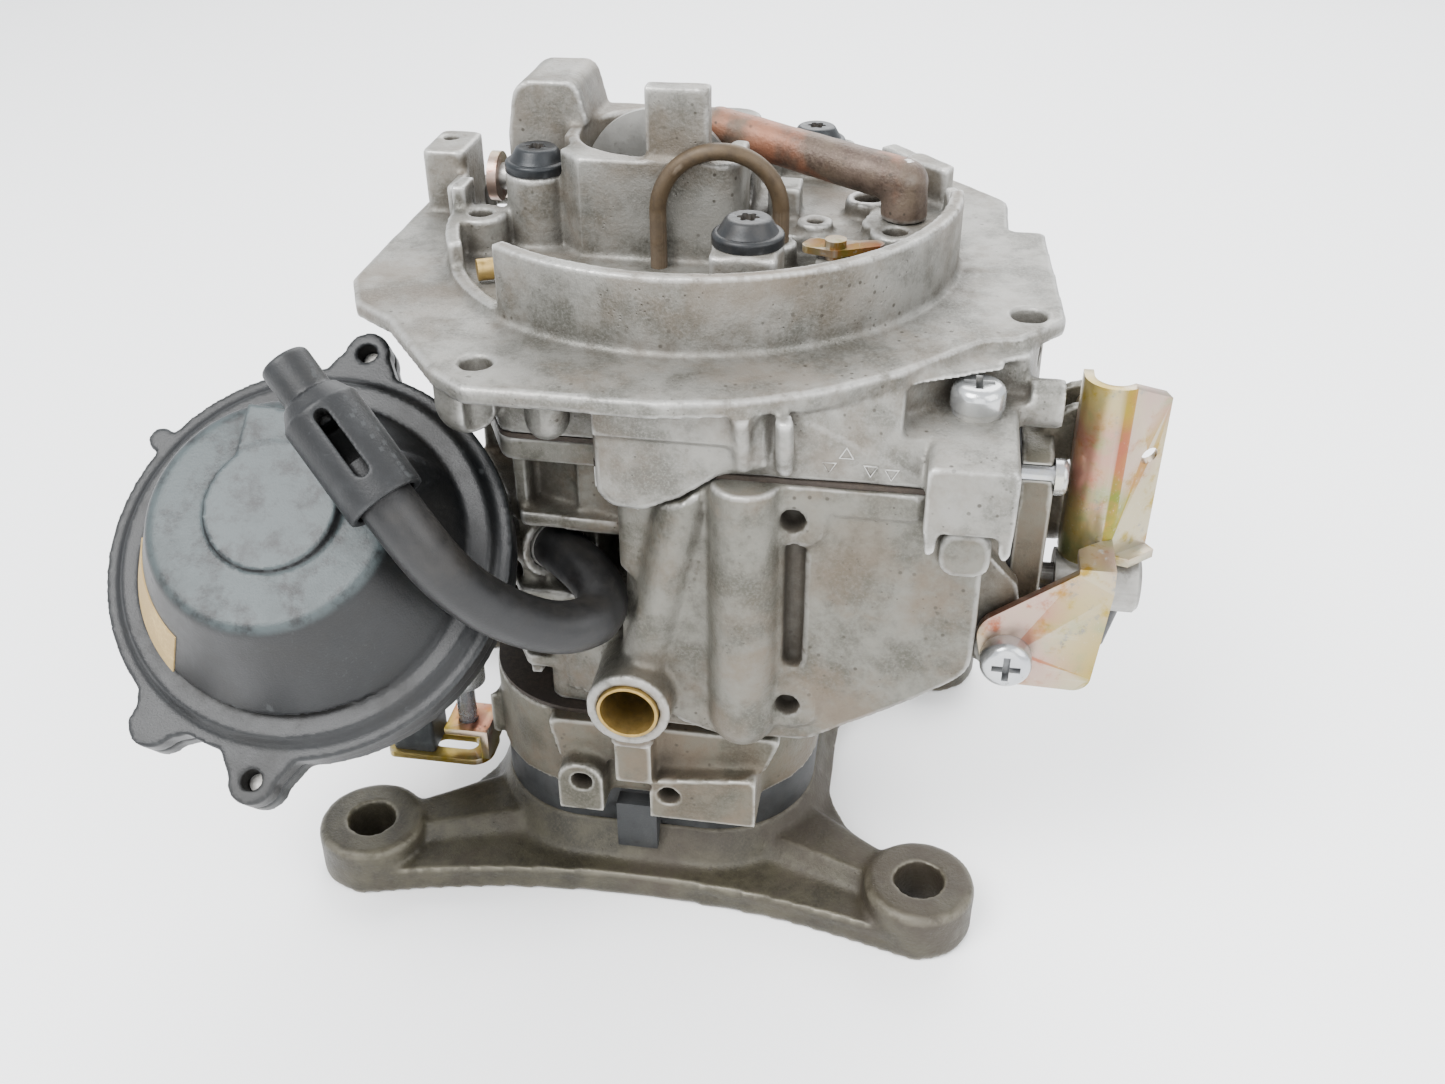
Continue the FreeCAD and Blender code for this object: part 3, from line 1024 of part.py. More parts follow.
# ---- accelerator pump ----
def square_ring(x0, x1, hole):
    side = rectangle(PUMP.y - PUMP_R, PUMP.z - PUMP_R, PUMP.y + PUMP_R, PUMP.z + PUMP_R, 8)
    return slab_x(side, x0, x1).cut(rod(V(x0 - 1, PUMP.y, PUMP.z), V(x1 + 1, PUMP.y, PUMP.z), hole))


def pump_places():
    shift = PUMP_R - 3.6
    return [(PUMP.y + a * shift, PUMP.z + b * shift) for a in (-1, 1) for b in (-1, 1)]


def pump_diaphragm():
    return square_ring(PUMP.x, PUMP.x + 0.9, 9.2)


def pump_cover():
    body = square_ring(PUMP.x + 0.9, PUMP.x + 6.2, 11)
    roof = square_ring(PUMP.x + 4.0, PUMP.x + 6.4, 2.05)
    boss = tube(V(PUMP.x + 6, PUMP.y, PUMP.z), V(PUMP.x + 10, PUMP.y, PUMP.z), 6, 2.05)
    ears = []
    for y in (PUMP_PIVOT.y - 5, PUMP_PIVOT.y + 3):
        ears.append(slab_y([(65, 88, 0), (69.4, 88, 0), (79.5, 94, 3), (79.5, 100.5, 3), (72, 100.5, 3), (65, 94, 0)], y, y + 2))
    ears.append(box(65, PUMP_PIVOT.y - 5, 88, 68, PUMP_PIVOT.y + 5, 94))
    whole = join([body, roof, boss] + ears)
    whole = whole.cut(rod(PUMP_PIVOT - Y * 8, PUMP_PIVOT + Y * 8, 1.5))
    for y, z in pump_places():
        whole = whole.cut(rod(V(PUMP.x, y, z), V(PUMP.x + 8, y, z), 1.9))
    return whole


def pump_screws():
    screws = []
    for y, z in pump_places():
        screws.append(pan_screw(V(PUMP.x + 6.42, y, z), X, 3.1, 2.2, 1.85, 5.4))
    return Part.makeCompound(screws)


def pump_stem():
    disc = rod(V(PUMP.x - 0.6, PUMP.y, PUMP.z), V(PUMP.x + 1.6, PUMP.y, PUMP.z), 8.8)
    return disc.fuse(rod(V(PUMP.x, PUMP.y, PUMP.z), V(79, PUMP.y, PUMP.z), 2.0))


def pump_spring():
    """One open coil behind the diaphragm's centre plate."""
    return Part.makeTorus(5.0, 0.5, V(57.3, PUMP.y, PUMP.z), X, -180, 180, 330)


def pump_lever():
    """Lever that pushes the stem's end."""
    arm = slab_y([(73, 99.6, 2.6), (79, 99.6, 2.6), (82.4, 82, 2), (82.4, 74.6, 2), (79.4, 74.6, 0), (79.4, 82, 2), (73, 94, 2)],
                 PUMP_PIVOT.y - 2.7, PUMP_PIVOT.y + 2.7)
    return arm.cut(rod(PUMP_PIVOT - Y * 8, PUMP_PIVOT + Y * 8, 1.5 + RUNNING))


def pump_pin():
    return rod(PUMP_PIVOT - Y * 5.8, PUMP_PIVOT + Y * 5.8, 1.5)


# ---- brackets and side fittings ----
def zinc_bracket():
    """Bent sheet guard on the right: flat ear in front, rolled plate above and behind."""
    thick = 1.6
    ear = slab_y([(58.9, 67.6, 4.6), (61.4, 56.0, 5.0), (79, 55.6, 3), (80.6, 76, 1), (80.4, 80.6, 1), (74.6, 79.4, 1)],
                 BRACKET_SCREW.y, BRACKET_SCREW.y + thick)
    ear = ear.cut(rod(BRACKET_SCREW - Y, BRACKET_SCREW + Y * 3, 2.6))
    left = 72.2
    outer = [(left, -20, 0), (left, -32.6, 5), (86.8, -20.6, 0)]
    run = V(86.8 - left, 12, 0).normalize()
    side = V(-run.y, run.x, 0) * thick
    inner = [(86.8 + side.x, -20.6 + side.y, 0), (left + thick, -32.6 + 3.4, 3.4), (left + thick, -20, 0)]
    plate = slab(outer + inner, 75.4, 108.6)
    plate = plate.cut(rod(V(84.4, -30, 95), V(84.4, -10, 95), 1.4))
    plate = plate.cut(slab_y([(66, 112, 0), (74, 112, 0), (90, 103, 0), (90, 120, 0), (66, 120, 0)], -40, -10))
    shelf = slab([(74.6, -36, 0), (80.4, -36, 0), (80.4, -25.2, 0), (74.6, -30.0, 0)], 78.9, 80.5)
    tab = slab([(80.6, -25.6, 0), (86.8, -20.6, 0), (88.0, -22.4, 0), (83.6, -26.4, 0)], 75.4, 77.0)
    return join([ear, plate, shelf, tab])


def cutoff_solenoid():
    """Fuel cut-off solenoid: light metal can on the pump cover's lower front."""
    can = rod(V(72.0, SOLENOID.y, SOLENOID.z), SOLENOID, 5.2)
    can = can.makeChamfer(0.7, [edge for edge in can.Edges if edge.CenterOfMass.x > 86 and len(edge.Vertexes) == 1])
    neck = rod(V(PUMP.x + 6.4, SOLENOID.y, SOLENOID.z), V(72.0, SOLENOID.y, SOLENOID.z), 2.4)
    return join([can, neck])


def solenoid_boot():
    """Rubber boot on the solenoid's terminal."""
    boot = rod(V(80.8, SOLENOID.y, SOLENOID.z - 4), V(80.0, SOLENOID.y, SOLENOID.z - 12.5), 3.6, 2.6)
    return boot.cut(rod(V(70, SOLENOID.y, SOLENOID.z), SOLENOID + X * 4, 5.25))


def lower_bracket():
    """Small slotted sheet bracket under the left lug."""
    plate = slab([(-56, -24.5, 1.5), (-34.4, -24.5, 4), (-34.4, -13, 4), (-56, -14, 1.5)], 12.6, 14.0)
    slot = slab(rectangle(-47, -21.4, -38, -17.6, 1.8), 12, 15)
    upright = box(-36.0, -23.6, 13.9, -34.4, -14.6, 21.0)
    return join([plate.cut(slot), upright, box(-43.4, -23.6, 19.6, -34.4, -14.6, 21.0)]).cut(post(-39.5, -19.5, 19, 22, 2.05))


def plug_block():
    """Grey plastic connector that stands on the small bracket."""
    block = slab([(-55, -23.6, 1), (-46, -23.6, 1), (-46, -14.6, 1), (-55, -14.6, 1)], 14.0, 30)
    wedge = slab_y([(-56, 24, 0), (-47, 33, 0), (-56, 33, 0)], -26, -12)
    return block.cut(wedge).cut(slab(rectangle(-53, -21.6, -48, -16.6, 0.6), 13, 20))


def enrichment_lever():
    """Small pressed lever on two posts inside the ring."""
    plate = slab([(23.6, -0.4, 1.6), (30, -2.4, 2), (38.6, 1.8, 1.4), (37.6, 4.4, 1.2), (30, 2.6, 2), (25.6, 4.0, 1.6)], 117.9, 119.1)
    rivet = post(30, 0.2, 117.0, 120.4, 1.9)
    return join([plate, rivet])


def brass_plug():
    """Brass adjusting plug that shows through the gap in the ring."""
    return rod(V(-31.4, -9.8, 114.9), V(-26.8, -7.6, 114.9), 1.9)


PARTS = {
    "base_flange": base_flange, "insulator": insulator,
    "throttle_body": throttle_body, "throttle_gasket": throttle_gasket, "main_body": main_body,
    "horn_gasket": horn_gasket, "air_horn": air_horn, "vent_tube": vent_tube, "vent_pipe": vent_pipe,
    "horn_screws": horn_screws, "zinc_screws": zinc_screws, "corner_washer": corner_washer,
    "brass_plug": brass_plug, "enrichment_lever": enrichment_lever,
    "choke_shaft": choke_shaft, "choke_plate": choke_plate,
    "choke_plate_screws": lambda: plate_screws(
        [V(CHOKE_X + s * 6, CHOKE_Y - 2.5, CHOKE_Z) for s in (-1, 1)], V(0, -1, 0), 2.5),
    "choke_lever": choke_lever, "choke_rod": choke_rod, "fast_idle_cam": fast_idle_cam, "cam_pivot": cam_pivot,
    "choke_housing": choke_housing, "choke_cover": choke_cover, "cover_screws": cover_screws,
    "bimetal_coil": bimetal_coil, "thermostat_shaft": thermostat_shaft, "cover_label": cover_label,
    "hose_sleeve": hose_sleeve, "choke_hose": choke_hose, "hose_nipple": hose_nipple,
    "throttle_shaft": throttle_shaft, "throttle_plates": throttle_plates,
    "throttle_plate_screws": lambda: plate_screws(
        [V(a * BORE_X + b * 5.5, BORE_Y, THROTTLE_Z + 4) for a in (-1, 1) for b in (-1, 1)], Z, 4.0),
    "throttle_lever": throttle_lever, "fast_idle_lever": fast_idle_lever, "shaft_nut": shaft_nut,
    "idle_speed_screw": idle_speed_screw, "mixture_screw": mixture_screw,
    "adjuster_springs": lambda: Part.makeCompound([
        helix_spring(V(38.5, -13.4, 42), Y, 3.0, 0.5, 10.0, 5), helix_spring(V(-16, 38.0, 27), Y, 3.0, 0.5, 6.0, 3)]),
    "return_spring": return_spring,
    "fuel_float": fuel_float, "float_pin": float_pin, "needle_seat": needle_seat, "inlet_needle": inlet_needle,
    "fuel_inlet": fuel_inlet, "booster_venturis": booster_venturis,
    "main_jets": main_jets, "pump_diaphragm": pump_diaphragm, "pump_cover": pump_cover,
    "pump_screws": pump_screws, "pump_stem": pump_stem, "pump_spring": pump_spring, "pump_lever": pump_lever,
    "pump_pin": pump_pin, "zinc_bracket": zinc_bracket,
}
PARTS.update({
    "cutoff_solenoid": cutoff_solenoid, "solenoid_boot": solenoid_boot, "lower_bracket": lower_bracket,
    "plug_block": plug_block,
})

os.makedirs("parts", exist_ok=True)
for node, build in PARTS.items():
    write(node, build())
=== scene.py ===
"""Studio scene of a two-barrel carburetor with its automatic choke, hose and four-eared base.

The fixed frame holds every rigid piece at its true place. This file gives each of them its
finish, rebuilds the castings and mouldings with their softened edges, runs the choke hose as
one smooth cord, and sets up the floor, the lights and the camera.
"""

import logging
from dataclasses import dataclass
from enum import Enum
from math import pi, radians
from typing import Sequence, Union

import bpy
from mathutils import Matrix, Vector


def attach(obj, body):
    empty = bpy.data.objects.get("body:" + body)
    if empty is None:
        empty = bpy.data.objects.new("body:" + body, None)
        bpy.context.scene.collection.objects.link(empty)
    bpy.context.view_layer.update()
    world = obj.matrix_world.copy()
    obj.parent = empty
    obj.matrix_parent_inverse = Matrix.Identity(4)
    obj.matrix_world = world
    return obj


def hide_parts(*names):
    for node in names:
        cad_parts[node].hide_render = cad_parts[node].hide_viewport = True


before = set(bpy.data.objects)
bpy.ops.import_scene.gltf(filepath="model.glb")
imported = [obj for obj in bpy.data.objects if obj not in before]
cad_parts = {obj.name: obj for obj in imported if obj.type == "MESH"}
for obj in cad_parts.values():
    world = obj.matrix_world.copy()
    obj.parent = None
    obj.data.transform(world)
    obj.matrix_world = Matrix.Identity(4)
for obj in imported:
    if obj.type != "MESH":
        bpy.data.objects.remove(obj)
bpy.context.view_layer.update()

COVER_CENTRE = Vector((-0.0531, -0.0460, 0.0761))
COVER_AXIS = Vector((0.04, -0.63, 0.775)).normalized()
REFLECTION_START, REFLECTION_FULL = 0.006, 0.0105     # how far out along that axis the painted reflection on the top face begins
LOG = logging.getLogger("carburetor")
Colour = tuple[float, float, float]
Socket = bpy.types.NodeSocket
Feed = Union[float, Sequence[float], Socket]
Point = tuple[float, float, float]


class Body(Enum):
    """Bodies that new pieces ride on."""

    HOUSING = "housing"


# ---- node graphs ----
class Graph:
    """A node tree with short calls for the nodes that the finishes use."""

    def __init__(self, tree: bpy.types.NodeTree) -> None:
        """Keep the tree that the calls add to.

        Args:
            tree: Material or group tree.
        """
        self.tree = tree

    def node(self, kind: str, inputs: dict[Union[str, int], Feed] = {}, **settings: object) -> bpy.types.Node:
        """Add a node, set its properties and feed its inputs.

        Args:
            kind: Node class name without its ShaderNode prefix.
            inputs: Input name or number to a value or a socket.
            **settings: Properties of the node.

        Returns:
            The new node.
        """
        made = self.tree.nodes.new("ShaderNode" + kind)
        for name, value in settings.items():
            setattr(made, name, value)
        for name, value in inputs.items():
            self.feed(made.inputs[name], value)
        return made

    def feed(self, socket: Socket, value: Feed) -> None:
        """Link a socket to another, or set its own value."""
        if isinstance(value, bpy.types.NodeSocket):
            self.tree.links.new(value, socket)
        elif isinstance(value, (int, float)):
            socket.default_value = value
        else:
            wide = len(socket.default_value)
            socket.default_value = (*value, 1.0)[:wide]

    def noise(self, place: Feed, scale: float, detail: float = 4.0, rough: float = 0.55) -> Socket:
        """Soft noise from 0 to 1.

        Args:
            place: Coordinates.
            scale: Features per metre.
            detail: Octaves.
            rough: How strong the finer octaves are.

        Returns:
            The noise's value.
        """
        made = self.node("TexNoise", {"Vector": place, "Scale": scale, "Detail": detail, "Roughness": rough})
        return made.outputs["Fac"]

    def cells(self, place: Feed, scale: float) -> Socket:
        """Distance to the nearest of scattered points, used for pits and chips."""
        return self.node("TexVoronoi", {"Vector": place, "Scale": scale}).outputs["Distance"]

    def mask(self, value: Feed, low: float, high: float) -> Socket:
        """Smooth step of a value.

        Args:
            value: What is measured.
            low: Value that gives 0.
            high: Value that gives 1.

        Returns:
            A mask from 0 to 1.
        """
        made = self.node("MapRange", {"Value": value, "From Min": low, "From Max": high},
                         interpolation_type="SMOOTHSTEP")
        return made.outputs["Result"]

    def span(self, value: Feed, low: float, high: float) -> Socket:
        """Spread a 0 to 1 value between two numbers."""
        made = self.node("MapRange", {"Value": value, "To Min": low, "To Max": high})
        return made.outputs["Result"]

    def math(self, operation: str, first: Feed, second: Feed = 0.0) -> Socket:
        """One step of arithmetic, held between 0 and 1."""
        made = self.node("Math", {0: first, 1: second}, operation=operation, use_clamp=True)
        return made.outputs[0]

    def mix(self, share: Feed, first: Feed, second: Feed, blend: str = "MIX") -> Socket:
        """Mix two colours.

        Args:
            share: How much of the second shows.
            first: Colour below.
            second: Colour above.
            blend: Blend mode.

        Returns:
            The mixed colour.
        """
        made = self.node("Mix", data_type="RGBA", blend_type=blend)
        self.feed(made.inputs[0], share)
        self.feed(made.inputs[6], first)
        self.feed(made.inputs[7], second)
        return made.outputs[2]

    def group(self, name: str, **inputs: Feed) -> bpy.types.Node:
        """Place a shared effect.

        Args:
            name: Name of the node group.
            **inputs: Its inputs, with underscores for spaces.

        Returns:
            The group's node.
        """
        made = self.tree.nodes.new("ShaderNodeGroup")
        made.node_tree = bpy.data.node_groups[name]
        for key, value in inputs.items():
            self.feed(made.inputs[key.replace("_", " ")], value)
        return made


class Effects:
    """Shared surface effects, each a node group built once."""

    @staticmethod
    def start(name: str, ins: dict[str, float],
              outs: Sequence[str]) -> tuple[Graph, bpy.types.Node, bpy.types.Node]:
        """Begin a group with a Place input, number inputs and number outputs.

        Args:
            name: Group name.
            ins: Number inputs with their usual values.
            outs: Output names.

        Returns:
            The graph, its input node and its output node.
        """
        tree = bpy.data.node_groups.new(name, "ShaderNodeTree")
        tree.interface.new_socket(name="Place", in_out="INPUT", socket_type="NodeSocketVector")
        for key, value in ins.items():
            made = tree.interface.new_socket(name=key, in_out="INPUT", socket_type="NodeSocketFloat")
            made.default_value = value
        for key in outs:
            tree.interface.new_socket(name=key, in_out="OUTPUT", socket_type="NodeSocketFloat")
        return Graph(tree), tree.nodes.new("NodeGroupInput"), tree.nodes.new("NodeGroupOutput")

    def build(self) -> None:
        """Build every shared effect."""
        self.cast_grain()
        self.grime()
        self.edge_wear()
        self.scratches()

    def cast_grain(self) -> None:
        """Sand-cast skin: fine lumps with a few deeper pits."""
        graph, source, sink = self.start("cast_grain", {"Pits": 0.5}, ("Height", "Pits"))
        place = source.outputs["Place"]
        lumps = graph.noise(place, 1500, 5, 0.62)
        waves = graph.noise(place, 240, 3, 0.5)
        holes = graph.mask(graph.cells(place, 900), 0.2, 0.06)
        rare = graph.mask(graph.noise(place, 110, 2), 0.5, 0.66)
        pits = graph.math("MULTIPLY", graph.math("MULTIPLY", holes, rare), source.outputs["Pits"])
        body = graph.math("ADD", graph.math("MULTIPLY", lumps, 0.5), graph.math("MULTIPLY", waves, 0.4))
        graph.feed(sink.inputs["Height"], graph.math("SUBTRACT", body, graph.math("MULTIPLY", pits, 0.45)))
        graph.feed(sink.inputs["Pits"], pits)

    def grime(self) -> None:
        """Painted shade in hollows from local occlusion, with oily grime in blotches over open faces and in
        specks.
        """
        graph, source, sink = self.start("grime", {"Reach": 0.006, "Amount": 0.5},
                                         ("ShadedHollows", "Blotches", "Specks"))
        place = source.outputs["Place"]
        # painted shade: local occlusion darkens hollows where shade falls; the noise gives it a ragged edge
        shade = graph.node("AmbientOcclusion", {"Distance": source.outputs["Reach"]},
                           samples=6, only_local=True)
        ragged = graph.noise(place, 320, 6, 0.7)
        hidden = graph.math("SUBTRACT", 1.0, shade.outputs["AO"])
        hollow = graph.math("ADD", hidden, graph.math("MULTIPLY", graph.math("SUBTRACT", ragged, 0.45), 0.9))
        graph.feed(sink.inputs["ShadedHollows"], graph.mask(hollow, 0.22, 0.66))
        wide = graph.noise(place, 42, 5, 0.62)
        torn = graph.math("MULTIPLY", wide, graph.span(ragged, 0.6, 1.35))
        blotch = graph.mask(torn, 0.42, 0.68)
        graph.feed(sink.inputs["Blotches"], graph.math("MULTIPLY", blotch, source.outputs["Amount"]))
        dots = graph.mask(graph.cells(place, 460), 0.2, 0.1)
        thin = graph.mask(graph.noise(place, 70, 3), 0.46, 0.62)
        graph.feed(sink.inputs["Specks"], graph.math("MULTIPLY", dots, thin))

    def edge_wear(self) -> None:
        """Bright bare metal on corners that get rubbed."""
        graph, source, sink = self.start("edge_wear", {"Low": 0.53, "High": 0.6}, ("Mask",))
        place = source.outputs["Place"]
        corner = graph.node("NewGeometry").outputs["Pointiness"]
        broken = graph.noise(place, 260, 4, 0.65)
        worn = graph.node("MapRange", {"Value": corner, "From Min": source.outputs["Low"],
                                       "From Max": source.outputs["High"]}).outputs["Result"]
        graph.feed(sink.inputs["Mask"], graph.math("MULTIPLY", worn, graph.mask(broken, 0.28, 0.5)))

    def scratches(self) -> None:
        """Long thin scuffs in two directions."""
        graph, source, sink = self.start("scratches", {"Amount": 0.5}, ("Mask",))
        lines = []
        for turn, stretch in ((0.5, (60, 2600, 900)), (2.1, (2200, 90, 1300))):
            turned = graph.node("Mapping", {"Vector": source.outputs["Place"], "Scale": stretch,
                                            "Rotation": (turn, turn * 0.4, turn)})
            lines.append(graph.mask(graph.noise(turned.outputs["Vector"], 1.0, 3, 0.6), 0.62, 0.72))
        both = graph.math("ADD", lines[0], lines[1])
        patch = graph.mask(graph.noise(source.outputs["Place"], 75, 3), 0.42, 0.62)
        kept = graph.math("MULTIPLY", graph.math("MULTIPLY", both, patch), source.outputs["Amount"])
        graph.feed(sink.inputs["Mask"], kept)


# ---- finishes ----
@dataclass(frozen=True)
class Finish:
    """What every finish shares: a name, and how its material is started and closed."""

    name: str

    def begin(self) -> tuple[Graph, Socket]:
        """Start the material.

        Returns:
            Its graph, and the object's own coordinates.
        """
        made = bpy.data.materials.new(self.name)
        made.use_nodes = True
        made.node_tree.nodes.clear()
        graph = Graph(made.node_tree)
        return graph, graph.node("TexCoord").outputs["Object"]

    def close(self, graph: Graph, colour: Feed, rough: Feed, metal: Feed, height: Feed, depth: float,
              **constants: float) -> bpy.types.Material:
        """Join the channels to one shader.

        Args:
            graph: The material's graph.
            colour: Base colour.
            rough: Roughness.
            metal: Metallic share.
            height: Surface height.
            depth: Depth of the relief in metres.
            **constants: Fixed values of other shader sockets, with underscores for spaces.

        Returns:
            The material.
        """
        bump = graph.node("Bump", {"Height": height, "Distance": depth, "Strength": 0.9})
        shader = graph.node("BsdfPrincipled", {"Base Color": colour, "Roughness": rough, "Metallic": metal,
                                               "Normal": bump.outputs["Normal"]})
        for key, value in constants.items():
            shader.inputs[key.replace("_", " ")].default_value = value
        sink = graph.node("OutputMaterial")
        graph.tree.links.new(shader.outputs["BSDF"], sink.inputs["Surface"])
        return next(made for made in bpy.data.materials if made.node_tree == graph.tree)

    def make(self) -> bpy.types.Material:
        """Build the material."""
        raise NotImplementedError


@dataclass(frozen=True)
class CastAlloy(Finish):
    """Sand-cast light alloy with fuel stains, rubbed corners and painted shade in its hollows."""

    skin: Colour = (0.215, 0.21, 0.19)
    shade: Colour = (0.09, 0.087, 0.074)
    # dark colour for real pits and specks, also laid as painted shade in hollows
    dirt_and_shade: Colour = (0.028, 0.022, 0.015)
    stain: Colour = (0.10, 0.072, 0.045)
    bright: Colour = (0.50, 0.495, 0.475)
    grime: float = 0.5
    rust: float = 0.0
    metal: float = 0.55
    wear: tuple[float, float] = (0.515, 0.56)

    def make(self) -> bpy.types.Material:
        """Build the casting's material."""
        graph, place = self.begin()
        grain = graph.group("cast_grain", Place=place, Pits=0.7)
        dirt_and_shade = graph.group("grime", Place=place, Reach=0.006, Amount=self.grime)
        worn = graph.group("edge_wear", Place=place, Low=self.wear[0], High=self.wear[1])
        tone = graph.mix(graph.mask(graph.noise(place, 90, 6, 0.68), 0.36, 0.62), self.shade, self.skin)
        grit = graph.mask(graph.noise(place, 1900, 3, 0.7), 0.42, 0.7)
        fine = graph.mix(graph.math("MULTIPLY", grit, 0.55), tone, self.skin)
        stained = graph.mix(dirt_and_shade.outputs["Blotches"], fine, self.stain)
        if self.rust:
            patch = graph.mask(graph.noise(place, 60, 4, 0.6), 0.5, 0.66)
            stained = graph.mix(graph.math("MULTIPLY", patch, self.rust), stained, (0.27, 0.10, 0.05))
        # painted shade: hollows found by local occlusion are darkened toward the dark colour
        hollows = graph.math("MULTIPLY", dirt_and_shade.outputs["ShadedHollows"], 0.86)
        flow = graph.math("MULTIPLY", graph.mask(graph.noise(place, 26, 4, 0.6), 0.5, 0.68), 0.55)
        stained = graph.mix(flow, stained, self.stain)
        sunk = graph.mix(hollows, stained, self.dirt_and_shade)
        pitted = graph.mix(graph.math("MULTIPLY", grain.outputs["Pits"], 0.8), sunk, self.dirt_and_shade)
        specked = graph.mix(graph.math("MULTIPLY", dirt_and_shade.outputs["Specks"], 0.75), pitted, self.dirt_and_shade)
        colour = graph.mix(graph.math("MULTIPLY", worn.outputs["Mask"], 0.8), specked, self.bright)
        soiled_and_shaded = graph.math("ADD", hollows, dirt_and_shade.outputs["Blotches"])
        rough = graph.mix(soiled_and_shaded, (0.47, 0.47, 0.47), (0.72, 0.72, 0.72))
        rough = graph.mix(worn.outputs["Mask"], rough, (0.33, 0.33, 0.33))
        metal = graph.mix(soiled_and_shaded, (self.metal,) * 3, (0.12,) * 3)
        return self.close(graph, colour, rough, metal, grain.outputs["Height"], 0.0003)


@dataclass(frozen=True)
class Moulding(Finish):
    """Dark moulded plastic, dulled and dusty, with painted shade in its hollows and a painted reflection on
    its top face.
    """

    dark: Colour = (0.003, 0.0034, 0.004)
    worn: Colour = (0.010, 0.0125, 0.0135)
    dust_and_shade: Colour = (0.026, 0.022, 0.016)
    gloss: float = 0.42
    top_reflection: Union[Colour, None] = None

    def top_reflection_mask(self, graph: Graph, place: Socket) -> Socket:
        """How far a point lies out along the thermostat cover's axis, and how much it faces out, for the
        painted reflection.

        Args:
            graph: The material's graph.
            place: The object's own coordinates.

        Returns:
            A broken mask from 0 on the flank to 1 on the top face.
        """
        axis = tuple(COVER_AXIS)
        reach = graph.node("VectorMath", {0: place, 1: axis}, operation="DOT_PRODUCT").outputs["Value"]
        normal = graph.node("TexCoord").outputs["Normal"]
        facing = graph.node("VectorMath", {0: normal, 1: axis}, operation="DOT_PRODUCT").outputs["Value"]
        height = COVER_CENTRE.dot(COVER_AXIS)
        out = graph.mask(reach, height + REFLECTION_START, height + REFLECTION_FULL)
        turned = graph.mask(facing, 0.55, 0.97)
        torn = graph.mask(graph.noise(place, 210, 6, 0.7), 0.30, 0.56)
        return graph.math("MULTIPLY", graph.math("MULTIPLY", out, turned), torn)

    def make(self) -> bpy.types.Material:
        """Build the moulding's material."""
        graph, place = self.begin()
        dirt_and_shade = graph.group("grime", Place=place, Reach=0.004, Amount=0.6)
        rub = graph.group("scratches", Place=place, Amount=0.7)
        edge = graph.group("edge_wear", Place=place, Low=0.515, High=0.57)
        cloud = graph.noise(place, 130, 5, 0.65)
        tone = graph.mix(graph.mask(cloud, 0.45, 0.8), self.dark, self.worn)
        # painted reflection: a bluish sheen laid on the cover's top face
        if self.top_reflection:
            tone = graph.mix(self.top_reflection_mask(graph, place), tone, self.top_reflection)
        # painted shade in hollows plus real blotches of grime, mixed toward the dusty colour
        soil_and_shade = graph.math("ADD", dirt_and_shade.outputs["ShadedHollows"], dirt_and_shade.outputs["Blotches"])
        dusty = graph.math("MULTIPLY", soil_and_shade, 0.42)
        colour = graph.mix(dusty, tone, self.dust_and_shade)
        marks = graph.math("MULTIPLY", graph.math("ADD", rub.outputs["Mask"], edge.outputs["Mask"]), 0.35)
        colour = graph.mix(marks, colour, (0.05, 0.054, 0.055))
        rough = graph.mix(graph.math("ADD", dusty, marks), (self.gloss,) * 3, (0.75,) * 3)
        height = graph.noise(place, 2600, 3, 0.6)
        return self.close(graph, colour, rough, 0.0, height, 0.00005, IOR=1.42)


@dataclass(frozen=True)
class Sealing(Finish):
    """Soft black rubber with a pale bloom."""

    black: Colour = (0.004, 0.004, 0.0043)
    bloom: Colour = (0.010, 0.010, 0.0105)

    def make(self) -> bpy.types.Material:
        """Build the rubber's material."""
        graph, place = self.begin()
        dirt_and_shade = graph.group("grime", Place=place, Reach=0.005, Amount=0.6)
        cloud = graph.mask(graph.noise(place, 190, 5, 0.6), 0.4, 0.75)
        colour = graph.mix(cloud, self.black, self.bloom)
        dusty = graph.math("MULTIPLY", dirt_and_shade.outputs["Blotches"], 0.3)
        colour = graph.mix(dusty, colour, (0.05, 0.042, 0.033))
        rough = graph.mix(cloud, (0.4,) * 3, (0.58,) * 3)
        height = graph.math("ADD", graph.noise(place, 3200, 3, 0.6), graph.math("MULTIPLY", cloud, 0.3))
        return self.close(graph, colour, rough, 0.0, height, 0.00004, IOR=1.42)


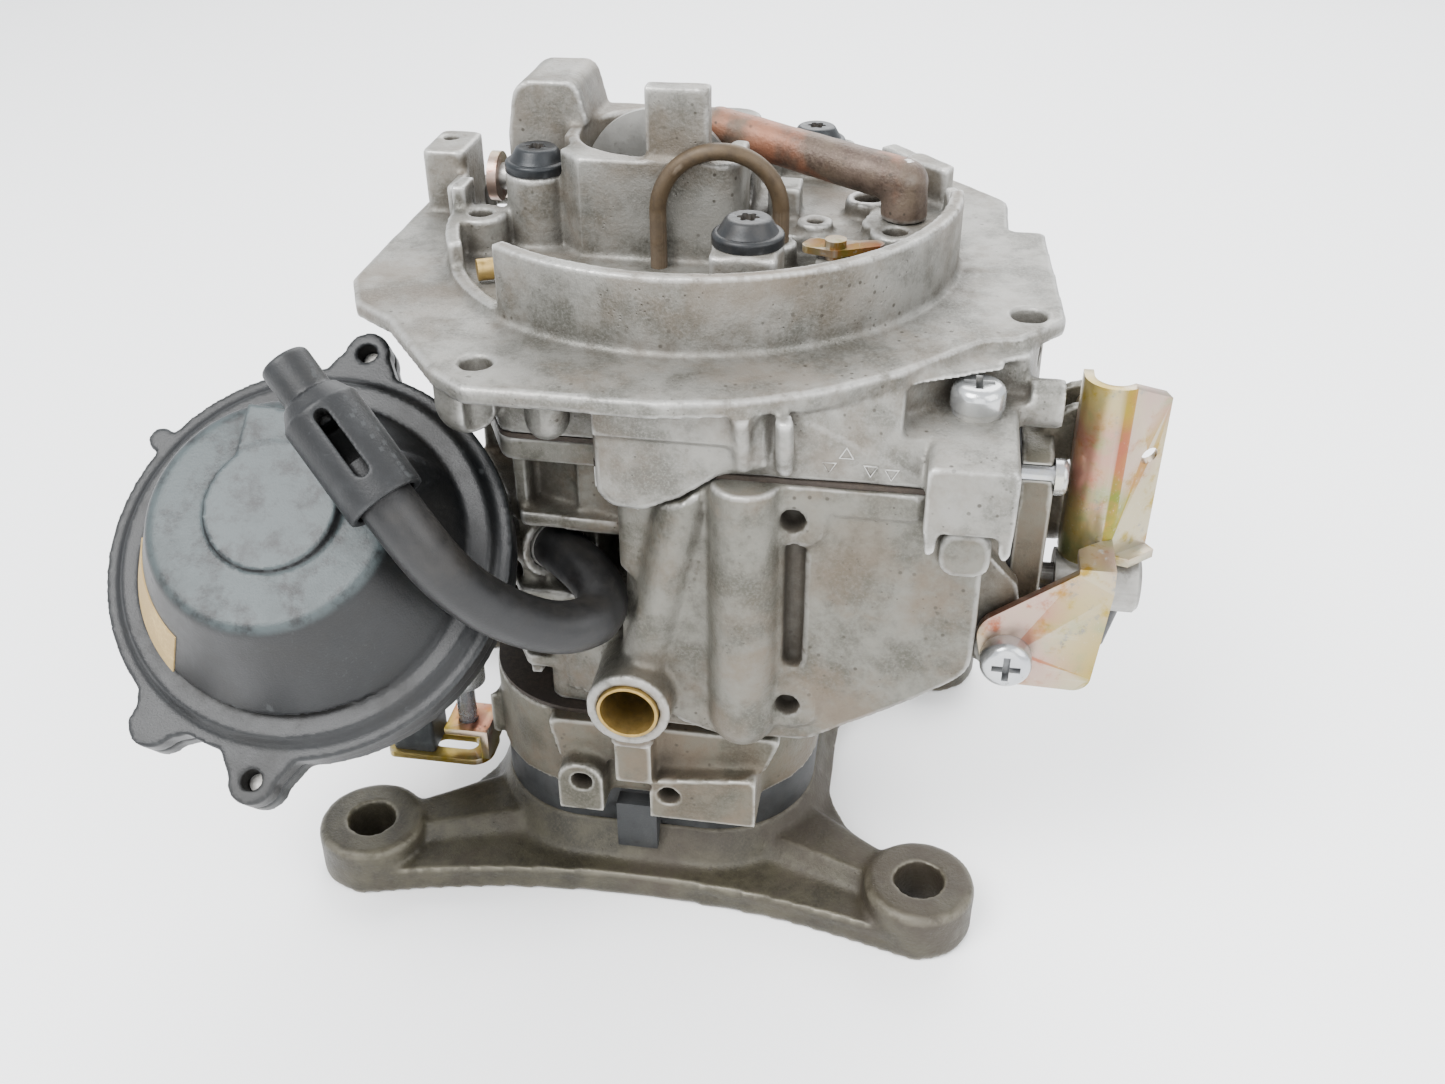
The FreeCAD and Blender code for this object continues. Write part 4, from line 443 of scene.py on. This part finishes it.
@dataclass(frozen=True)
class Plating(Finish):
    """Zinc-plated sheet or fastener: passivation tints, scuffs, dark rubs and painted shade in hollows."""

    main: Colour = (0.26, 0.185, 0.022)
    second: Colour = (0.27, 0.085, 0.045)
    third: Colour = (0.13, 0.15, 0.022)
    scuff_and_shade: Colour = (0.02, 0.017, 0.012)
    spots: float = 1.0
    shine: float = 0.34

    def make(self) -> bpy.types.Material:
        """Build the plating's material."""
        graph, place = self.begin()
        rub = graph.group("scratches", Place=place, Amount=1.0)
        dirt_and_shade = graph.group("grime", Place=place, Reach=0.003, Amount=0.5)
        edge = graph.group("edge_wear", Place=place, Low=0.52, High=0.6)
        drift = graph.noise(place, 55, 3, 0.5)
        tone = graph.mix(graph.mask(drift, 0.42, 0.62), self.main, self.second)
        tone = graph.mix(graph.mask(graph.noise(place, 85, 4, 0.6), 0.52, 0.68), tone, self.third)
        rubbed = graph.mask(graph.noise(place, 330, 6, 0.75), 0.56, 0.66)
        area = graph.mask(graph.noise(place, 45, 2, 0.5), 0.48, 0.6)
        dark = graph.math("MULTIPLY", graph.math("MULTIPLY", rubbed, area), self.spots)
        # painted shade: hollows from local occlusion darken toward the same dark colour as the rubs
        dark = graph.math("ADD", dark, graph.math("MULTIPLY", dirt_and_shade.outputs["ShadedHollows"], 0.6))
        colour = graph.mix(dark, tone, self.scuff_and_shade)
        colour = graph.mix(graph.math("MULTIPLY", edge.outputs["Mask"], 0.5), colour, (0.45, 0.43, 0.38))
        colour = graph.mix(graph.math("MULTIPLY", rub.outputs["Mask"], 0.35), colour, (0.42, 0.40, 0.33))
        rough = graph.mix(dark, (self.shine,) * 3, (0.62,) * 3)
        metal = graph.mix(dark, (0.8,) * 3, (0.3,) * 3)
        sunk = graph.math("MULTIPLY", rub.outputs["Mask"], 0.4)
        height = graph.math("SUBTRACT", graph.noise(place, 1700, 4, 0.6), sunk)
        return self.close(graph, colour, rough, metal, height, 0.00003)


@dataclass(frozen=True)
class TurnedMetal(Finish):
    """Turned or drawn metal with tarnish and painted shade in hollows: steel, brass or black oxide."""

    clean: Colour = (0.24, 0.235, 0.22)
    tarnish: Colour = (0.075, 0.06, 0.045)
    amount: float = 0.6
    metal: float = 0.9
    shine: float = 0.36

    def make(self) -> bpy.types.Material:
        """Build the metal's material."""
        graph, place = self.begin()
        dirt_and_shade = graph.group("grime", Place=place, Reach=0.003, Amount=self.amount)
        edge = graph.group("edge_wear", Place=place, Low=0.52, High=0.6)
        drift = graph.noise(place, 420, 5, 0.65)
        dulled = graph.math("MULTIPLY", graph.mask(drift, 0.4, 0.72), self.amount)
        tone = graph.mix(dulled, self.clean, self.tarnish)
        # blotches of grime plus painted shade in hollows, mixed toward dark brown
        soil_and_shade = graph.math("ADD", dirt_and_shade.outputs["ShadedHollows"], dirt_and_shade.outputs["Blotches"])
        soiled_and_shaded = graph.math("MULTIPLY", soil_and_shade, 0.7)
        colour = graph.mix(soiled_and_shaded, tone, (0.05, 0.04, 0.03))
        lit = tuple(min(1.0, part * 1.5 + 0.05) for part in self.clean)
        colour = graph.mix(graph.math("MULTIPLY", edge.outputs["Mask"], 0.7), colour, lit)
        rough = graph.mix(soiled_and_shaded, graph.mix(drift, (self.shine,) * 3, (self.shine + 0.16,) * 3), (0.7,) * 3)
        metal = graph.mix(soiled_and_shaded, (self.metal,) * 3, (0.2,) * 3)
        return self.close(graph, colour, rough, metal, graph.noise(place, 2400, 4, 0.6), 0.00003)


@dataclass(frozen=True)
class Fibre(Finish):
    """Pressed fibre or paper: matted flecks, oil-darkened or aged."""

    pale: Colour = (0.035, 0.024, 0.016)
    dark: Colour = (0.011, 0.008, 0.006)

    def make(self) -> bpy.types.Material:
        """Build the fibre's material."""
        graph, place = self.begin()
        flecks = graph.noise(place, 1400, 6, 0.72)
        blotch = graph.noise(place, 170, 5, 0.62)
        share = graph.mask(graph.math("MULTIPLY", graph.math("ADD", flecks, blotch), 0.5), 0.38, 0.62)
        colour = graph.mix(share, self.pale, self.dark)
        return self.close(graph, colour, graph.span(flecks, 0.7, 0.95), 0.0, flecks, 0.00006)


@dataclass(frozen=True)
class PlainSurface(Finish):
    """Matt studio surface with a very faint mottle."""

    tint: Colour = (0.93, 0.93, 0.93)

    def make(self) -> bpy.types.Material:
        """Build the floor's material."""
        graph, place = self.begin()
        cloud = graph.noise(place, 3.0, 2, 0.5)
        paler = tuple(min(1.0, part * 1.03) for part in self.tint)
        return self.close(graph, graph.mix(cloud, self.tint, paler), 0.42, 0.0, cloud, 0.00001)


class Palette(Enum):
    """Every finish on the object, by the job that it does."""

    HORN = CastAlloy("horn_casting")
    # painted shade: a darker copy of the horn's alloy, the same metal as it looks in less light
    BOWL = CastAlloy("bowl_casting", skin=(0.14, 0.135, 0.115), shade=(0.058, 0.055, 0.043),
                     grime=0.7, wear=(0.52, 0.57))
    THROTTLE = CastAlloy("grey_casting", skin=(0.105, 0.098, 0.074), shade=(0.046, 0.042, 0.03), grime=0.8,
                         bright=(0.42, 0.41, 0.37))
    BASE = CastAlloy("oxidised_casting", skin=(0.050, 0.044, 0.027), shade=(0.02, 0.017, 0.010),
                     stain=(0.03, 0.022, 0.014), bright=(0.17, 0.155, 0.115), grime=0.8, metal=0.3)
    VENT = CastAlloy("stained_tube", skin=(0.13, 0.095, 0.075), shade=(0.055, 0.036, 0.027),
                     grime=0.75, rust=0.7)
    # the bluish top colour is a painted reflection on the cover's top face
    COVER = Moulding("cover_moulding", worn=(0.0065, 0.0075, 0.008), dust_and_shade=(0.014, 0.012, 0.009),
                     top_reflection=(0.036, 0.048, 0.050))
    HOUSING = Moulding("housing_moulding")
    SLEEVE = Moulding("sleeve_moulding", worn=(0.014, 0.015, 0.016), dust_and_shade=(0.03, 0.027, 0.022), gloss=0.48)
    INSULATOR = Moulding("insulator_moulding", worn=(0.016, 0.016, 0.016), gloss=0.5)
    CONNECTOR = Moulding("connector_moulding", dark=(0.016, 0.018, 0.019), worn=(0.065, 0.07, 0.07))
    FLOAT = Moulding("float_moulding", worn=(0.06, 0.05, 0.04), gloss=0.6)
    RUBBER = Sealing("hose_rubber")
    YELLOW = Plating("yellow_plating")
    BRIGHT = Plating("bright_plating", main=(0.46, 0.47, 0.47), second=(0.38, 0.39, 0.41),
                     third=(0.42, 0.41, 0.34), spots=0.5, shine=0.24)
    STEEL = TurnedMetal("turned_steel")
    BRASS = TurnedMetal("tarnished_brass", clean=(0.30, 0.20, 0.055), tarnish=(0.085, 0.055, 0.02),
                        amount=0.5)
    OXIDE = TurnedMetal("black_oxide", clean=(0.005, 0.007, 0.009), tarnish=(0.012, 0.012, 0.013), amount=0.4,
                        metal=0.35, shine=0.34)
    PIPE = TurnedMetal("varnished_pipe", clean=(0.075, 0.05, 0.026), tarnish=(0.03, 0.02, 0.012),
                       metal=0.5, shine=0.46)
    GASKET = Fibre("oiled_fibre")
    PAPER = Fibre("aged_paper", pale=(0.38, 0.27, 0.11), dark=(0.2, 0.13, 0.05))


NODE_FINISH: dict[Palette, Sequence[str]] = {
    Palette.HORN: ("air_horn",), Palette.BOWL: ("main_body",), Palette.BASE: ("base_flange",),
    Palette.THROTTLE: ("throttle_body", "pump_cover", "booster_venturis"), Palette.VENT: ("vent_tube",),
    Palette.COVER: ("choke_cover",), Palette.HOUSING: ("choke_housing", "fast_idle_cam"),
    Palette.SLEEVE: ("hose_sleeve",),
    Palette.INSULATOR: ("insulator",), Palette.CONNECTOR: ("plug_block",), Palette.FLOAT: ("fuel_float",),
    Palette.RUBBER: ("pump_diaphragm", "solenoid_boot", "choke_hose"),
    Palette.YELLOW: ("zinc_bracket", "lower_bracket", "throttle_lever", "fast_idle_lever", "choke_lever",
                     "pump_lever", "enrichment_lever"),
    Palette.BRIGHT: ("zinc_screws", "corner_washer", "shaft_nut", "idle_speed_screw", "pump_screws"),
    Palette.STEEL: ("choke_shaft", "choke_plate", "choke_plate_screws", "choke_rod", "cam_pivot",
                    "cover_screws", "bimetal_coil", "thermostat_shaft", "hose_nipple", "throttle_shaft",
                    "throttle_plate_screws",
                    "adjuster_springs", "return_spring", "float_pin", "pump_stem", "pump_spring", "pump_pin",
                    "cutoff_solenoid"),
    Palette.BRASS: ("throttle_plates", "mixture_screw", "needle_seat", "inlet_needle", "fuel_inlet",
                    "main_jets", "brass_plug"),
    Palette.OXIDE: ("horn_screws",), Palette.PIPE: ("vent_pipe",),
    Palette.GASKET: ("throttle_gasket", "horn_gasket"), Palette.PAPER: ("cover_label",),
}


class PaintShop:
    """Holds the built materials and puts them on pieces."""

    def __init__(self) -> None:
        """Build the shared effects first, since the materials place them."""
        Effects().build()
        self.made: dict[Palette, bpy.types.Material] = {}

    def material(self, finish: Palette) -> bpy.types.Material:
        """The material of a finish, built the first time it is wanted."""
        if finish not in self.made:
            self.made[finish] = finish.value.make()
        return self.made[finish]

    def paint(self, piece: bpy.types.Object, finish: Palette) -> None:
        """Give a whole piece one finish.

        Args:
            piece: The piece.
            finish: Its finish.
        """
        if not piece.data.materials:
            piece.data.materials.append(self.material(finish))
        for holder in piece.material_slots:
            holder.material = self.material(finish)

    def paint_frame(self) -> None:
        """Give every node of the frame its finish."""
        for finish, nodes in NODE_FINISH.items():
            for node in nodes:
                self.paint(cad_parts[node], finish)
                LOG.info("painted %s with %s", node, finish.value.name)


# ---- bench work shared by the pieces ----
def clear_selection() -> None:
    """Leave nothing selected and object mode on."""
    if bpy.context.object and bpy.context.object.mode != "OBJECT":
        bpy.ops.object.mode_set(mode="OBJECT")
    bpy.ops.object.select_all(action="DESELECT")


def take(piece: bpy.types.Object) -> None:
    """Make a piece the only one selected, and the active one."""
    clear_selection()
    piece.select_set(True)
    bpy.context.view_layer.objects.active = piece


def twin_of(node: str) -> bpy.types.Object:
    """Copy a node's mesh to a new piece with its doubles merged.

    Args:
        node: Name in the frame.

    Returns:
        The new piece, at the origin.
    """
    twin = bpy.data.objects.new(node + "_shaped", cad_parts[node].data.copy())
    bpy.context.scene.collection.objects.link(twin)
    take(twin)
    bpy.ops.object.mode_set(mode="EDIT")
    bpy.ops.mesh.select_all(action="SELECT")
    bpy.ops.mesh.remove_doubles(threshold=0.000004)
    bpy.ops.object.mode_set(mode="OBJECT")
    return twin


def finish_modifiers(piece: bpy.types.Object) -> None:
    """Apply every modifier of a piece, top first."""
    take(piece)
    for modifier in list(piece.modifiers):
        bpy.ops.object.modifier_apply(modifier=modifier.name)


def count_triangles(piece: bpy.types.Object) -> int:
    """Number of triangles in a piece's mesh."""
    return sum(len(face.vertices) - 2 for face in piece.data.polygons)


@dataclass
class Softened:
    """A casting or moulding rebuilt as one skin with rounded corners.

    Attributes:
        node: Frame node that it stands for.
        finish: Its finish.
        voxel: Size of the skin's squares in metres.
        passes: Smoothing passes, which set the corner radius.
        most: Most triangles kept.
        sway: Height of the skin's slow waves in metres.
        body: Body that it rides on.
    """

    node: str
    finish: Palette
    voxel: float = 0.0006
    passes: int = 4
    most: int = 150000
    sway: float = 0.0
    body: Body = Body.HOUSING

    def build(self) -> bpy.types.Object:
        """Make the rounded skin.

        Returns:
            The finished piece.
        """
        piece = twin_of(self.node)
        skin = piece.modifiers.new("skin", "REMESH")
        skin.mode = "VOXEL"
        skin.voxel_size = self.voxel
        rounding = piece.modifiers.new("rounding", "SMOOTH")
        rounding.factor = 0.5
        rounding.iterations = self.passes
        if self.sway:
            cloud = bpy.data.textures.new(self.node + "_waves", "CLOUDS")
            cloud.noise_scale = 0.011
            waves = piece.modifiers.new("waves", "DISPLACE")
            waves.texture = cloud
            waves.texture_coords = "LOCAL"
            waves.mid_level = 0.5
            waves.strength = self.sway
        finish_modifiers(piece)
        count = count_triangles(piece)
        if count > self.most:
            thin = piece.modifiers.new("thin", "DECIMATE")
            thin.ratio = self.most / count
            finish_modifiers(piece)
        take(piece)
        bpy.ops.object.shade_smooth()
        return piece

    def dress(self, shop: PaintShop) -> bpy.types.Object:
        """Build, paint and hang the piece.

        Args:
            shop: Where its finish comes from.

        Returns:
            The piece.
        """
        piece = self.build()
        piece.data.materials.clear()
        shop.paint(piece, self.finish)
        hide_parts(self.node)
        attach(piece, self.body.value)
        LOG.info("%s: %d triangles", piece.name, count_triangles(piece))
        return piece


@dataclass
class Eased:
    """A pressed or turned piece with its sharp edges eased.

    Attributes:
        node: Frame node that it stands for.
        finish: Its finish.
        ease: Width of the eased edge in metres.
        body: Body that it rides on.
    """

    node: str
    finish: Palette
    ease: float = 0.0002
    body: Body = Body.HOUSING

    def dress(self, shop: PaintShop) -> bpy.types.Object:
        """Build, paint and hang the piece.

        Args:
            shop: Where its finish comes from.

        Returns:
            The piece.
        """
        piece = twin_of(self.node)
        edge = piece.modifiers.new("ease", "BEVEL")
        edge.width = self.ease
        edge.segments = 2
        edge.limit_method = "ANGLE"
        edge.angle_limit = radians(40)
        finish_modifiers(piece)
        take(piece)
        bpy.ops.object.shade_smooth_by_angle(angle=radians(50))
        piece.data.materials.clear()
        shop.paint(piece, self.finish)
        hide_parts(self.node)
        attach(piece, self.body.value)
        LOG.info("%s: %d triangles", piece.name, count_triangles(piece))
        return piece


# ---- sub-assemblies ----
@dataclass
class ChokeHose:
    """Rubber hose from the sleeve on the thermostat cover into the body.

    Attributes:
        route: Control points of its smooth line, in metres.
        radius: Outside radius.
        length: Real length; not used.
    """

    route: Sequence[Point] = (
        (-0.0347, -0.0610, 0.1045), (-0.0270, -0.0653, 0.0969), (-0.0222, -0.0634, 0.0870),
        (-0.0164, -0.0590, 0.0782), (-0.0092, -0.0538, 0.0719), (-0.0034, -0.0484, 0.0702),
        (-0.0032, -0.0424, 0.0716), (-0.0086, -0.0356, 0.0724), (-0.0154, -0.0290, 0.0720))
    radius: float = 0.0044
    length: float = 0.076

    def dress(self, shop: PaintShop) -> bpy.types.Object:
        """Lay the hose along its line.

        Args:
            shop: Where its finish comes from.

        Returns:
            The hose.
        """
        curve = bpy.data.curves.new("choke_hose_line", "CURVE")
        curve.dimensions = "3D"
        curve.bevel_depth = self.radius
        curve.bevel_resolution = 8
        curve.resolution_u = 14
        curve.use_fill_caps = True
        line = curve.splines.new("NURBS")
        line.points.add(len(self.route) - 1)
        for point, place in zip(line.points, self.route):
            point.co = (*place, 1.0)
        line.order_u = 3
        line.use_endpoint_u = True
        hose = bpy.data.objects.new("choke_hose_laid", curve)
        bpy.context.scene.collection.objects.link(hose)
        curve.materials.append(shop.material(Palette.RUBBER))
        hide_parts("choke_hose")
        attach(hose, Body.HOUSING.value)
        LOG.info("choke hose laid through %d points", len(self.route))
        return hose


@dataclass
class Castings:
    """The alloy castings, each one skin."""

    pieces: Sequence[Softened] = (
        Softened("air_horn", Palette.HORN, 0.00058, 4, 190000, 0.0003),
        Softened("main_body", Palette.BOWL, 0.00062, 4, 190000, 0.0003),
        Softened("throttle_body", Palette.THROTTLE, 0.0006, 4, 110000),
        Softened("base_flange", Palette.BASE, 0.0007, 6, 120000, 0.0005),
        Softened("vent_tube", Palette.VENT, 0.0005, 8, 30000, 0.0004),
        Softened("pump_cover", Palette.THROTTLE, 0.0005, 4, 60000),
    )

    def dress(self, shop: PaintShop) -> None:
        """Build every casting."""
        for piece in self.pieces:
            piece.dress(shop)


@dataclass
class Mouldings:
    """The plastic and rubber mouldings."""

    pieces: Sequence[Softened] = (
        Softened("choke_cover", Palette.COVER, 0.00042, 4, 150000),
        Softened("choke_housing", Palette.HOUSING, 0.0006, 4, 60000),
        Softened("hose_sleeve", Palette.SLEEVE, 0.0003, 5, 50000),
        Softened("plug_block", Palette.CONNECTOR, 0.0003, 4, 30000),
    )

    def dress(self, shop: PaintShop) -> None:
        """Build every moulding."""
        for piece in self.pieces:
            piece.dress(shop)


@dataclass
class Hardware:
    """Sheet-metal pieces and screw heads with eased edges."""

    pieces: Sequence[Eased] = (
        Eased("zinc_bracket", Palette.YELLOW, 0.0003), Eased("horn_screws", Palette.OXIDE, 0.0002),
        Eased("zinc_screws", Palette.BRIGHT, 0.0002), Eased("insulator", Palette.INSULATOR, 0.0004),
        Eased("lower_bracket", Palette.YELLOW, 0.0002), Eased("fuel_inlet", Palette.BRASS, 0.00015),
        Eased("solenoid_boot", Palette.RUBBER, 0.0003),
    )

    def dress(self, shop: PaintShop) -> None:
        """Build every piece of hardware."""
        for piece in self.pieces:
            piece.dress(shop)


@dataclass
class CastTriangles:
    """Small raised triangle outlines on the upright wall at the front of the horn.

    Attributes:
        places: How far across and up each one's centre is, and its turn in degrees.
        reach: Distance from centre to corner.
        wall: Depth of the wall's face.
    """

    places: Sequence[tuple[float, float, float]] = (
        (0.0362, 0.1030, 30.0), (0.0400, 0.1007, -30.0), (0.0432, 0.1003, 90.0), (0.0336, 0.1008, -30.0))
    reach: float = 0.0012
    wall: float = -0.0440

    def dress(self, shop: PaintShop) -> None:
        """Lay each outline on the wall.

        Args:
            shop: Where their finish comes from.
        """
        for number, (across, up, turn) in enumerate(self.places, 1):
            clear_selection()
            bpy.ops.mesh.primitive_torus_add(major_segments=3, minor_segments=6, major_radius=self.reach,
                                             minor_radius=0.0002, location=(across, self.wall, up),
                                             rotation=(pi / 2, radians(turn), 0.0))
            mark = bpy.context.object
            mark.name = f"cast_triangle_{number}"
            bpy.ops.object.transform_apply(location=True, rotation=True, scale=True)
            shop.paint(mark, Palette.HORN)
            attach(mark, Body.HOUSING.value)


@dataclass
class Studio:
    """Pale floor, soft lights and the camera.

    Attributes:
        eye: Camera place.
        tilt: Camera turn in degrees.
        lens: Focal length in millimetres.
    """

    eye: Point = (0.04606, -0.23128, 0.20834)
    tilt: Point = (57.0, 0.0, 8.8)
    lens: float = 35.0
    lights: Sequence[tuple[str, Point, float, float]] = (
        ("key_light", (-0.35, -0.45, 0.85), 0.5, 17.0), ("fill_light", (0.7, -0.35, 0.55), 0.7, 7.0),
        ("back_light", (0.1, 0.75, 0.75), 0.9, 15.0), ("front_light", (0.1, -0.8, 0.25), 0.6, 3.0))

    def camera(self) -> None:
        """Set the camera up."""
        lens = bpy.data.cameras.new("studio_camera")
        lens.lens = self.lens
        lens.sensor_width = 36.0
        lens.clip_start = 0.01
        view = bpy.data.objects.new("studio_camera", lens)
        view.location = self.eye
        view.rotation_euler = tuple(radians(part) for part in self.tilt)
        bpy.context.scene.collection.objects.link(view)
        bpy.context.scene.camera = view

    def floor(self) -> None:
        """Lay the floor."""
        clear_selection()
        bpy.ops.mesh.primitive_plane_add(size=12.0, location=(0, 0, -0.0002))
        floor = bpy.context.object
        floor.name = "studio_floor"
        floor.data.materials.append(PlainSurface("studio_floor_finish").make())

    def light(self) -> None:
        """Hang the soft lights and the sky."""
        centre = Vector((0.01, 0.0, 0.07))
        for name, place, size, watts in self.lights:
            lamp = bpy.data.lights.new(name, "AREA")
            lamp.size = size
            lamp.energy = watts
            holder = bpy.data.objects.new(name, lamp)
            holder.location = place
            holder.rotation_euler = (centre - Vector(place)).to_track_quat("-Z", "Y").to_euler()
            bpy.context.scene.collection.objects.link(holder)
        sky = bpy.data.worlds.new("studio_sky")
        sky.use_nodes = True
        sky.node_tree.nodes["Background"].inputs["Color"].default_value = (0.93, 0.96, 1.0, 1.0)
        sky.node_tree.nodes["Background"].inputs["Strength"].default_value = 1.7
        bpy.context.scene.world = sky


def main() -> None:
    """Build the scene in order and report each piece."""
    logging.basicConfig(level=logging.INFO, format="%(name)s %(message)s")
    studio = Studio()
    studio.camera()
    shop = PaintShop()
    ChokeHose().dress(shop)
    shop.paint_frame()
    Castings().dress(shop)
    Mouldings().dress(shop)
    Hardware().dress(shop)
    CastTriangles().dress(shop)
    studio.floor()
    studio.light()
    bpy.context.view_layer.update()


if __name__ == "__main__":
    main()
